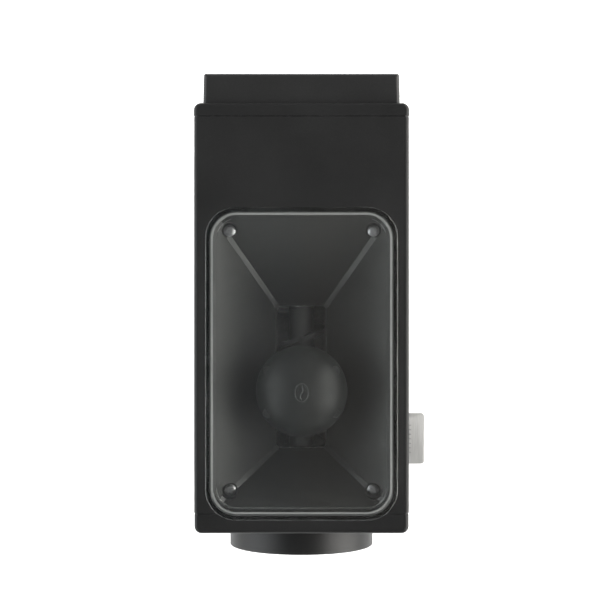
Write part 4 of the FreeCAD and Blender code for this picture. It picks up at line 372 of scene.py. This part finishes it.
def addPiece(name, mesh, slot, body, replaced=()):
    mesh.name = name
    if not mesh.materials:
        mesh.materials.append(materials[slot])
    piece = bpy.data.objects.new(name, mesh)
    scene.collection.objects.link(piece)
    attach(piece, body)
    if replaced:
        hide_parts(*replaced)


def meshFrom(made, name):
    bmesh.ops.remove_doubles(made, verts=made.verts, dist=fineGap)
    bmesh.ops.recalc_face_normals(made, faces=made.faces)
    mesh = bpy.data.meshes.new(name)
    made.to_mesh(mesh)
    made.free()
    shadeSmooth(mesh)
    return mesh


def addLathe(made, profile, origin, segments=128):
    # (radius, height) points turned round the upright through the origin; a radius of 0 is a pole
    rings = []
    for radius, height in profile:
        if radius < 1e-9:
            rings.append([made.verts.new(origin + Vector((0, 0, height)))])
            continue
        ring = []
        for index in range(segments):
            turn = index * math.tau / segments
            offset = Vector((radius * math.cos(turn), radius * math.sin(turn), height))
            ring.append(made.verts.new(origin + offset))
        rings.append(ring)
    for lower, upper in zip(rings, rings[1:]):
        for index in range(segments):
            following = (index + 1) % segments
            corners = [lower[index % len(lower)], lower[following % len(lower)],
                       upper[following % len(upper)], upper[index % len(upper)]]
            corners = [corner for spot, corner in enumerate(corners) if corner not in corners[:spot]]
            made.faces.new(corners)


def solidsOf(name):
    # the corner points of each solid in a CAD node
    made = bmesh.new()
    made.from_mesh(nodes[name].data)
    bmesh.ops.remove_doubles(made, verts=made.verts, dist=frameGap)
    made.verts.ensure_lookup_table()
    seen = set()
    solids = []
    for start in made.verts:
        if start.index in seen:
            continue
        seen.add(start.index)
        queue = [start]
        points = []
        while queue:
            vert = queue.pop()
            points.append(vert.co.copy())
            for edge in vert.link_edges:
                other = edge.other_vert(vert)
                if other.index not in seen:
                    seen.add(other.index)
                    queue.append(other)
        solids.append(points)
    made.free()
    return solids


def grow(name, tree, start, values):
    # runs a geometry tree on a start mesh and keeps the result as a plain mesh
    host = bpy.data.objects.new(name + "Host", start)
    scene.collection.objects.link(host)
    modifier = host.modifiers.new("Grow", "NODES")
    modifier.node_group = tree
    for socket in tree.interface.items_tree:
        if socket.in_out == "INPUT" and socket.name in values:
            modifier[socket.identifier] = values[socket.name]
    depsgraph = bpy.context.evaluated_depsgraph_get()
    mesh = bpy.data.meshes.new_from_object(host.evaluated_get(depsgraph), depsgraph=depsgraph)
    host.modifiers.remove(modifier)
    bpy.data.objects.remove(host)
    return mesh


def combine(tree, x=0.0, y=0.0, z=0.0):
    return addNode(tree, "ShaderNodeCombineXYZ", {0: x, 1: y, 2: z}).outputs[0]


def moved(tree, geometry, place, turn=None, size=None):
    inputs = {"Geometry": geometry, "Translation": place}
    if turn is not None:
        inputs["Rotation"] = turn
    if size is not None:
        inputs["Scale"] = size
    return addNode(tree, "GeometryNodeTransform", inputs).outputs[0]


def joined(tree, *pieces):
    node = addNode(tree, "GeometryNodeJoinGeometry")
    for piece in pieces:
        tree.links.new(piece, node.inputs[0])
    return node.outputs[0]


def carved(tree, operation, pieces, base=None):
    node = addNode(tree, "GeometryNodeMeshBoolean", operation=operation, solver="EXACT")
    if base is not None:
        tree.links.new(base, node.inputs[0])
    for piece in pieces:
        tree.links.new(piece, node.inputs[1])
    return node.outputs[0]


def finishTree(tree, geometry, material, out):
    real = addNode(tree, "GeometryNodeRealizeInstances", {"Geometry": geometry}).outputs[0]
    done = addNode(tree, "GeometryNodeSetMaterial", {"Geometry": real, "Material": material}).outputs[0]
    tree.links.new(done, out["Geometry"])


# shares of the head's radius or depth, or of the recess's depth
crossLook = {"crown": 0.5, "reach": 1.15, "pitTop": 0.36, "pitEnd": 0.1, "pitDepth": 1.3, "pitDrop": 0.6}


# domed screws with a cross recess, one on each point, its head along the point's "along" direction
def makeScrewTree():
    inputs = [("Geometry", "Geometry", None),
              ("Head Radius", "Float", 0.0029), ("Head Depth", "Float", 0.0016),
              ("Shank Radius", "Float", 0.0015), ("Recess Width", "Float", 0.0009),
              ("Recess Depth", "Float", 0.0009), ("Seed", "Int", 4), ("Material", "Material", None)]
    tree, given, out = newTree("crossScrews", "GeometryNodeTree", inputs, [("Geometry", "Geometry")])
    tree.is_modifier = True
    radius = given["Head Radius"]
    depth = given["Head Depth"]
    drum = addNode(tree, "GeometryNodeMeshCylinder", {"Vertices": 40, "Radius": radius, "Depth": depth})
    drum = moved(tree, drum.outputs["Mesh"], combine(tree, z=calc(tree, "MULTIPLY", depth, 0.5)))
    crown = calc(tree, "MULTIPLY", depth, crossLook["crown"])
    squares = calc(tree, "ADD", calc(tree, "MULTIPLY", radius, radius), calc(tree, "MULTIPLY", crown, crown))
    ballRadius = calc(tree, "DIVIDE", squares, calc(tree, "MULTIPLY", crown, 2.0))
    ball = addNode(tree, "GeometryNodeMeshUVSphere", {"Segments": 48, "Rings": 64, "Radius": ballRadius})
    ball = moved(tree, ball.outputs["Mesh"], combine(tree, z=calc(tree, "SUBTRACT", depth, ballRadius)))
    head = carved(tree, "INTERSECT", [drum, ball])
    reach = calc(tree, "MULTIPLY", radius, crossLook["reach"])
    bar = addNode(tree, "GeometryNodeMeshCube", {"Size": combine(
        tree, reach, given["Recess Width"], calc(tree, "MULTIPLY", given["Recess Depth"], 2.0))})
    bar = moved(tree, bar.outputs["Mesh"], combine(tree, z=depth))
    across = moved(tree, bar, (0.0, 0.0, 0.0), (0.0, 0.0, math.pi / 2))
    pit = addNode(tree, "GeometryNodeMeshCone", {
        "Vertices": 4, "Radius Top": calc(tree, "MULTIPLY", radius, crossLook["pitTop"]),
        "Radius Bottom": calc(tree, "MULTIPLY", radius, crossLook["pitEnd"]),
        "Depth": calc(tree, "MULTIPLY", given["Recess Depth"], crossLook["pitDepth"])})
    drop = calc(tree, "MULTIPLY", given["Recess Depth"], crossLook["pitDrop"])
    pit = moved(tree, pit.outputs["Mesh"], combine(tree, z=calc(tree, "SUBTRACT", depth, drop)))
    head = carved(tree, "DIFFERENCE", [bar, across, pit], head)
    length = addNode(tree, "GeometryNodeInputNamedAttribute", {"Name": "shank"}, data_type="FLOAT")
    shank = addNode(tree, "GeometryNodeMeshCylinder", {"Vertices": 24, "Radius": given["Shank Radius"],
                                                       "Depth": 1.0})
    shank = moved(tree, shank.outputs["Mesh"], (0.0, 0.0, -0.5))
    along = addNode(tree, "GeometryNodeInputNamedAttribute", {"Name": "along"}, data_type="FLOAT_VECTOR")
    aimed = addNode(tree, "FunctionNodeAlignRotationToVector", {"Vector": along.outputs[0]}, axis="Z")
    spinAngle = addNode(tree, "FunctionNodeRandomValue", {"Seed": given["Seed"]}, data_type="FLOAT")
    spinAngle.inputs[2].default_value = 0.0
    spinAngle.inputs[3].default_value = math.pi
    spin = addNode(tree, "FunctionNodeRotateRotation", {
        0: aimed.outputs[0], 1: combine(tree, z=spinAngle.outputs[1])}, rotation_space="LOCAL")
    heads = addNode(tree, "GeometryNodeInstanceOnPoints", {
        "Points": given["Geometry"], "Instance": head, "Rotation": spin.outputs[0]})
    shanks = addNode(tree, "GeometryNodeInstanceOnPoints", {
        "Points": given["Geometry"], "Instance": shank, "Rotation": spin.outputs[0],
        "Scale": combine(tree, 1.0, 1.0, length.outputs[0])})
    finishTree(tree, joined(tree, heads.outputs[0], shanks.outputs[0]), given["Material"], out)
    return tree


screwLook = {"Head Radius": 2.9 * mm, "Head Depth": 1.6 * mm, "Shank Radius": 1.5 * mm,
             "Recess Width": 0.8 * mm, "Recess Depth": 0.95 * mm, "Seed": 4}
endSlice = 1.2 * mm


def screwPoints(name):
    # where each screw of a node sits: under its head, with the way its head faces and its shank's length
    spots = []
    for points in solidsOf(name):
        low = Vector([min(point[axis] for point in points) for axis in range(3)])
        high = Vector([max(point[axis] for point in points) for axis in range(3)])
        size = high - low
        axis = max(range(3), key=lambda index: size[index])
        middle = (low + high) / 2

        def widest(level):
            near = [point for point in points if abs(point[axis] - level) < endSlice]
            reaches = []
            for point in near:
                away = point - middle
                away[axis] = 0
                reaches.append(away.length)
            return max(reaches)

        side = 1 if widest(high[axis]) > widest(low[axis]) else -1
        along = Vector([side if index == axis else 0 for index in range(3)])
        end = Vector(middle)
        end[axis] = high[axis] if side > 0 else low[axis]
        spots.append((end - along * screwLook["Head Depth"], along, size[axis] - screwLook["Head Depth"]))
    mesh = bpy.data.meshes.new(name + "Points")
    mesh.from_pydata([spot for spot, _, _ in spots], [], [])
    mesh.attributes.new("along", "FLOAT_VECTOR", "POINT")
    mesh.attributes.new("shank", "FLOAT", "POINT")
    for index, (_, way, length) in enumerate(spots):
        mesh.attributes["along"].data[index].vector = way
        mesh.attributes["shank"].data[index].value = length
    return mesh


screwTree = makeScrewTree()
for name, node in (("hopperScrews", "hopper_screws"), ("caseScrews", "case_screws")):
    mesh = grow(name, screwTree, screwPoints(node), {**screwLook, "Material": materials["dark_steel"]})
    shadeSmooth(mesh, degrees=25)
    addPiece(name, mesh, "dark_steel", "frame", [node])
print("screws made")

# the scale on the dial's face: ticks and plain numbers
scaleLook = {"first": 1, "last": 11, "spread": 300, "between": 4, "tickRadius": 29 * mm,
             "tickLength": 2.6 * mm, "tickWidth": 0.35 * mm, "shorter": 0.45, "proud": 0.05 * mm,
             "numberRadius": 24.2 * mm, "numberHeight": 4.4 * mm}


def makeTickTree():
    inputs = [("Geometry", "Geometry", None), ("Count", "Int", 51), ("Spread", "Float", 5.2),
              ("Radius", "Float", 0.029), ("Length", "Float", 0.0026), ("Width", "Float", 0.00035),
              ("Depth", "Float", 0.0001), ("Every", "Int", 5), ("Material", "Material", None)]
    tree, given, out = newTree("tickRing", "GeometryNodeTree", inputs, [("Geometry", "Geometry")])
    tree.is_modifier = True
    index = addNode(tree, "GeometryNodeInputIndex").outputs[0]
    steps = calc(tree, "SUBTRACT", given["Count"], 1.0)
    share = calc(tree, "SUBTRACT", calc(tree, "DIVIDE", index, steps), 0.5)
    angle = calc(tree, "MULTIPLY", share, given["Spread"])
    minor = calc(tree, "MINIMUM", calc(tree, "MODULO", index, given["Every"]), 1.0)
    size = calc(tree, "SUBTRACT", 1.0, calc(tree, "MULTIPLY", minor, scaleLook["shorter"]))
    length = calc(tree, "MULTIPLY", given["Length"], size)
    middle = calc(tree, "SUBTRACT", given["Radius"], calc(tree, "MULTIPLY", length, 0.5))
    place = combine(tree, calc(tree, "MULTIPLY", middle, calc(tree, "SINE", angle)), 0.0,
                    calc(tree, "MULTIPLY", middle, calc(tree, "COSINE", angle)))
    points = addNode(tree, "GeometryNodePoints", {"Count": given["Count"], "Position": place}).outputs[0]
    barSize = combine(tree, given["Width"], given["Depth"], given["Length"])
    bar = addNode(tree, "GeometryNodeMeshCube", {"Size": barSize}).outputs["Mesh"]
    ticks = addNode(tree, "GeometryNodeInstanceOnPoints", {
        "Points": points, "Instance": bar, "Rotation": combine(tree, y=angle),
        "Scale": combine(tree, 1.0, 1.0, size)}).outputs[0]
    finishTree(tree, ticks, given["Material"], out)
    return tree


insertLow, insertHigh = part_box("dial_insert")
faceCentre = Vector(((insertLow.x + insertHigh.x) / 2, insertLow.y, (insertLow.z + insertHigh.z) / 2))
numbers = range(scaleLook["first"], scaleLook["last"] + 1)
tickCount = (len(numbers) - 1) * (scaleLook["between"] + 1) + 1
ticks = grow("dialTicks", makeTickTree(), bpy.data.meshes.new("tickStart"), {
    "Count": tickCount, "Spread": math.radians(scaleLook["spread"]), "Radius": scaleLook["tickRadius"],
    "Length": scaleLook["tickLength"], "Width": scaleLook["tickWidth"], "Depth": scaleLook["proud"] * 2,
    "Every": scaleLook["between"] + 1, "Material": materials["marking_white"]})
ticks.transform(Matrix.Translation(faceCentre))
addPiece("dialTicks", ticks, "marking_white", "dial")


def textMesh(words, height, depth):
    curve = bpy.data.curves.new("words", "FONT")
    curve.body = words
    curve.size = height
    curve.extrude = depth
    curve.align_x = "CENTER"
    curve.align_y = "CENTER"
    holder = bpy.data.objects.new("words", curve)
    mesh = bpy.data.meshes.new_from_object(holder)
    bpy.data.objects.remove(holder)
    return mesh


made = bmesh.new()
for index, number in enumerate(numbers):
    lean = math.radians((index / (len(numbers) - 1) - 0.5) * scaleLook["spread"])
    mesh = textMesh(str(number), scaleLook["numberHeight"], scaleLook["proud"])
    reach = scaleLook["numberRadius"]
    spot = faceCentre + Vector((reach * math.sin(lean), 0, reach * math.cos(lean)))
    turn = Euler((math.pi / 2, 0, 0)).to_matrix().to_4x4() @ Matrix.Rotation(-lean, 4, "Z")
    mesh.transform(Matrix.Translation(spot) @ turn)
    made.from_mesh(mesh)
addPiece("dialNumbers", meshFrom(made, "dialNumbers"), "marking_white", "dial")
print("dial scale made")

# the lever with its edges broken, and short ribs that a finger finds
leverLook = {"edge": 0.5 * mm, "ribs": 7, "spacing": 2.5 * mm, "length": 4.6 * mm, "width": 0.55 * mm,
             "proud": 0.16 * mm, "inset": 5.4 * mm, "flat": 1, "sharp": 40, "steps": 3}


def softened(name, edge):
    # a copy of a CAD node, merged, with its sharp edges bevelled
    made = bmesh.new()
    made.from_mesh(nodes[name].data)
    bmesh.ops.remove_doubles(made, verts=made.verts, dist=frameGap)
    bmesh.ops.dissolve_limit(made, angle_limit=math.radians(leverLook["flat"]), verts=made.verts,
                             edges=made.edges)
    mesh = bpy.data.meshes.new(name + "Copy")
    made.to_mesh(mesh)
    made.free()
    host = bpy.data.objects.new(name + "Host", mesh)
    scene.collection.objects.link(host)
    bevel = host.modifiers.new("Edges", "BEVEL")
    bevel.width = edge
    bevel.segments = leverLook["steps"]
    bevel.limit_method = "ANGLE"
    bevel.angle_limit = math.radians(leverLook["sharp"])
    depsgraph = bpy.context.evaluated_depsgraph_get()
    mesh = bpy.data.meshes.new_from_object(host.evaluated_get(depsgraph), depsgraph=depsgraph)
    bpy.data.objects.remove(host)
    mesh.materials.clear()
    shadeSmooth(mesh)
    return mesh


addPiece("knockerLever", softened("knocker_lever", leverLook["edge"]), "lever_metal", "knocker",
         ["knocker_lever"])


def makeRibTree():
    inputs = [("Geometry", "Geometry", None), ("Count", "Int", 7), ("Spacing", "Float", 0.0025),
              ("Length", "Float", 0.0046), ("Width", "Float", 0.0005), ("Proud", "Float", 0.00016),
              ("Material", "Material", None)]
    tree, given, out = newTree("ribRow", "GeometryNodeTree", inputs, [("Geometry", "Geometry")])
    tree.is_modifier = True
    index = addNode(tree, "GeometryNodeInputIndex").outputs[0]
    half = calc(tree, "MULTIPLY", calc(tree, "SUBTRACT", given["Count"], 1.0), 0.5)
    along = calc(tree, "MULTIPLY", calc(tree, "SUBTRACT", index, half), given["Spacing"])
    points = addNode(tree, "GeometryNodePoints", {"Count": given["Count"],
                                                  "Position": combine(tree, y=along)}).outputs[0]
    ball = addNode(tree, "GeometryNodeMeshUVSphere", {"Segments": 24, "Rings": 12, "Radius": 0.5})
    twice = calc(tree, "MULTIPLY", given["Proud"], 2.0)
    bar = moved(tree, ball.outputs["Mesh"], (0.0, 0.0, 0.0), None,
                combine(tree, given["Length"], given["Width"], twice))
    row = addNode(tree, "GeometryNodeInstanceOnPoints", {"Points": points, "Instance": bar}).outputs[0]
    finishTree(tree, row, given["Material"], out)
    return tree


leverLow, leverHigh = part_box("knocker_lever")
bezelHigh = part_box("knocker_bezel")[1]
ribs = grow("leverRibs", makeRibTree(), bpy.data.meshes.new("ribStart"), {
    "Count": leverLook["ribs"], "Spacing": leverLook["spacing"], "Length": leverLook["length"],
    "Width": leverLook["width"], "Proud": leverLook["proud"], "Material": materials["dark_steel"]})
ribs.transform(Matrix.Translation(Vector((bezelHigh.x + leverLook["inset"], (leverLow.y + leverHigh.y) / 2,
                                          leverHigh.z))))
shadeSmooth(ribs)
addPiece("leverRibs", ribs, "dark_steel", "knocker")
print("lever made")

# the dome over the throat, its four legs and a small bean inlaid on its top
domeLook = {"rise": 14 * mm, "wall": 2 * mm, "rim": 0.5 * mm, "legRadius": 2.4 * mm, "legAcross": 0.72,
            "legAlong": 0.45, "legSides": 24, "legSlack": 1.1, "legTop": 0.35, "legEdge": 0.1 * mm,
            "outerSteps": 40, "innerSteps": 24, "rimSoft": (0.15 * mm, 0.12 * mm), "rimFlat": 0.4 * mm,
            "beanLength": 9 * mm, "beanWidth": 6.6 * mm, "line": 0.5 * mm, "steps": 64, "bend": 0.11,
            "creaseLength": 0.8, "sink": 0.15}
domeLow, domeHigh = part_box("bean_dome")
domeRadius = (domeHigh.x - domeLow.x) / 2
domeMiddle = Vector(((domeLow.x + domeHigh.x) / 2, (domeLow.y + domeHigh.y) / 2, 0))
ballRadius = (domeRadius ** 2 + domeLook["rise"] ** 2) / (2 * domeLook["rise"])
ballCentre = domeHigh.z - ballRadius
rimLevel = domeHigh.z - domeLook["rise"]


def domeArc(radius, level, steps):
    # points from the pole down to a level
    end = math.acos((level - ballCentre) / radius)
    return [(radius * math.sin(end * index / steps), ballCentre + radius * math.cos(end * index / steps))
            for index in range(steps + 1)]


domePoints = [vert.co for vert in nodes["bean_dome"].data.vertices]


def addLeg(made, spot):
    # a round leg whose foot follows the funnel's slope
    radius = domeLook["legRadius"]
    own = [point for point in domePoints if point.z < rimLevel - mm
           and math.hypot(point.x - spot.x, point.y - spot.y) < radius * domeLook["legSlack"]]
    inner = min(own, key=lambda point: point.z)
    reach = max(abs(point.x) for point in own)
    far = [point for point in own if abs(point.x) > reach - domeLook["legEdge"]]
    outer = min(far, key=lambda point: point.z)
    slope = (outer.z - inner.z) / (abs(outer.x) - abs(inner.x))
    top = rimLevel + domeLook["rise"] * domeLook["legTop"]
    sides = domeLook["legSides"]
    rings = [[], []]
    for index in range(sides):
        turn = math.tau * index / sides
        x = spot.x + radius * math.cos(turn)
        y = spot.y + radius * math.sin(turn)
        foot = inner.z + (abs(x) - abs(inner.x)) * slope
        rings[0].append(made.verts.new((x, y, foot)))
        rings[1].append(made.verts.new((x, y, top)))
    for index in range(sides):
        following = (index + 1) % sides
        made.faces.new([rings[0][index], rings[0][following], rings[1][following], rings[1][index]])
    made.faces.new(rings[0][::-1])
    made.faces.new(rings[1])


made = bmesh.new()
outerArc = domeArc(ballRadius, rimLevel + domeLook["rim"], domeLook["outerSteps"])
innerArc = domeArc(ballRadius - domeLook["wall"], rimLevel, domeLook["innerSteps"])
softIn, softUp = domeLook["rimSoft"]
rimEdge = [(outerArc[-1][0] - softIn, rimLevel + softUp), (outerArc[-1][0] - domeLook["rimFlat"], rimLevel)]
addLathe(made, outerArc + rimEdge + innerArc[::-1], domeMiddle)
for sideX in (-1, 1):
    for sideY in (-1, 1):
        out = Vector((sideX * domeLook["legAcross"], sideY * domeLook["legAlong"], 0))
        addLeg(made, domeMiddle + out * domeRadius)
addPiece("beanDome", meshFrom(made, "beanDome"), "dome_plastic", "frame", ["bean_dome"])


def tubeMesh(lines, radius):
    # round wire along each line of points; a line that ends where it starts is closed
    curve = bpy.data.curves.new("wire", "CURVE")
    curve.dimensions = "3D"
    curve.bevel_depth = radius
    curve.bevel_resolution = 3
    curve.use_fill_caps = True
    for points in lines:
        closed = (points[0] - points[-1]).length < fineGap
        points = points[:-1] if closed else points
        spline = curve.splines.new("POLY")
        spline.points.add(len(points) - 1)
        spline.use_cyclic_u = closed
        for knot, point in zip(spline.points, points):
            knot.co = (*point, 1)
    holder = bpy.data.objects.new("wire", curve)
    mesh = bpy.data.meshes.new_from_object(holder)
    bpy.data.objects.remove(holder)
    return mesh


def onDome(x, y):
    reach = math.sqrt(ballRadius ** 2 - x ** 2 - y ** 2)
    return domeMiddle + Vector((x, y, ballCentre + reach - domeLook["line"] * domeLook["sink"]))


oval = []
crease = []
steps = domeLook["steps"]
for index in range(steps + 1):
    turn = math.tau * index / steps
    oval.append(onDome(domeLook["beanWidth"] / 2 * math.cos(turn),
                       domeLook["beanLength"] / 2 * math.sin(turn)))
    share = index / steps - 0.5
    crease.append(onDome(math.sin(share * math.tau) * domeLook["beanWidth"] * domeLook["bend"],
                         share * domeLook["beanLength"] * domeLook["creaseLength"]))
oval[-1] = oval[0].copy()
made = bmesh.new()
made.from_mesh(tubeMesh([oval, crease], domeLook["line"] / 2))
addPiece("domeBean", meshFrom(made, "domeBean"), "insert_coat", "frame")
print("dome made")

# the start button's plain power mark: an open ring and a bar in its gap
buttonLook = {"ring": 2.6 * mm, "gap": 70, "steps": 40, "bar": 1.6 * mm, "barTop": 1.15, "line": 0.4 * mm}
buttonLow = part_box("start_button")[0]
bezelLow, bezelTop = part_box("button_bezel")
buttonFace = Vector(((bezelLow.x + bezelTop.x) / 2, buttonLow.y, (bezelLow.z + bezelTop.z) / 2))
ring = []
for index in range(buttonLook["steps"] + 1):
    turn = math.radians(buttonLook["gap"] / 2 + index / buttonLook["steps"] * (360 - buttonLook["gap"]))
    ring.append(buttonFace + Vector((math.sin(turn), 0, math.cos(turn))) * buttonLook["ring"])
barTop = buttonLook["ring"] * buttonLook["barTop"]
bar = [buttonFace + Vector((0, 0, barTop)), buttonFace + Vector((0, 0, barTop - buttonLook["bar"]))]
made = bmesh.new()
made.from_mesh(tubeMesh([ring, bar], buttonLook["line"] / 2))
addPiece("buttonMark", meshFrom(made, "buttonMark"), "marking_white", "button")
print("button made")

scene.world = bpy.data.worlds.new("studio")
scene.world.use_nodes = True
worldTree = scene.world.node_tree
worldTree.nodes.clear()

# a tent with a large soft box on each side: dim overhead, so that flat tops stay dark
tentLook = {"front": 0.10, "rear": 0.45, "turn": (-0.8, 0.8), "zenith": 0.29, "climb": (0.15, 0.95),
            "edge": (0.56, 0.76), "right": 6.6, "left": 3.4, "warm": (1.0, 0.985, 0.95, 1),
            "cool": (0.95, 0.985, 1.0, 1)}
outward = addNode(worldTree, "ShaderNodeTexCoord").outputs["Generated"]
way = addNode(worldTree, "ShaderNodeSeparateXYZ", {0: outward}).outputs
around = remap(worldTree, way["Y"], *tentLook["turn"], tentLook["front"], tentLook["rear"])
ambient = remap(worldTree, way["Z"], *tentLook["climb"], around, tentLook["zenith"])
side = remap(worldTree, calc(worldTree, "ABSOLUTE", way["X"]), *tentLook["edge"])
rightward = calc(worldTree, "GREATER_THAN", way["X"], 0.0)
power = remap(worldTree, rightward, 0.0, 1.0, tentLook["left"], tentLook["right"])
strength = calc(worldTree, "ADD", ambient, calc(worldTree, "MULTIPLY", side, power))
tint = mixColor(worldTree, rightward, tentLook["cool"], tentLook["warm"])
sky = addNode(worldTree, "ShaderNodeBackground", {"Color": tint, "Strength": strength})
addNode(worldTree, "ShaderNodeOutputWorld", {"Surface": sky.outputs[0]})
scene.view_settings.view_transform = "Standard"

# plain pale floor
floorLook = {"half": 3.0, "glow": 0.6, "dark": (0.82, 0.82, 0.82), "light": (0.86, 0.86, 0.86),
             "scale": 600.0, "rough": (0.75, 0.85)}
made = bmesh.new()
half = floorLook["half"]
made.faces.new([made.verts.new((x, y, cadBox[0].z)) for x, y in
                ((-half, -half), (half, -half), (half, half), (-half, half))])
floorMesh = bpy.data.meshes.new("floor")
made.to_mesh(floorMesh)
made.free()
floor = bpy.data.objects.new("floor", floorMesh)
scene.collection.objects.link(floor)
floorMaterial, tree = newMaterial("floor")
base = placeGroup(tree, patterns["grain"], {
    "Scale": floorLook["scale"], "Dark": opaque(floorLook["dark"]), "Light": opaque(floorLook["light"]),
    "Rough Low": floorLook["rough"][0], "Rough High": floorLook["rough"][1]})
shader = addNode(tree, "ShaderNodeBsdfPrincipled", {
    "Base Color": base["Color"], "Roughness": base["Roughness"], "Emission Color": (1.0, 1.0, 1.0, 1.0),
    "Emission Strength": floorLook["glow"]})
addNode(tree, "ShaderNodeOutputMaterial", {"Surface": shader.outputs[0]})
floorMesh.materials.append(floorMaterial)

# straight down over the head, with the rear at the top
viewLook = {"lens": 92.8, "sensor": 36.0, "above": 761.6 * mm, "x": -0.76 * mm, "y": 8.95 * mm}
camera = bpy.data.cameras.new("overhead")
camera.lens = viewLook["lens"]
camera.sensor_width = viewLook["sensor"]
holder = bpy.data.objects.new("overhead", camera)
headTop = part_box("main_shell")[1].z
holder.location = (viewLook["x"], viewLook["y"], headTop + viewLook["above"])
scene.collection.objects.link(holder)
scene.camera = holder
print("light and camera set")
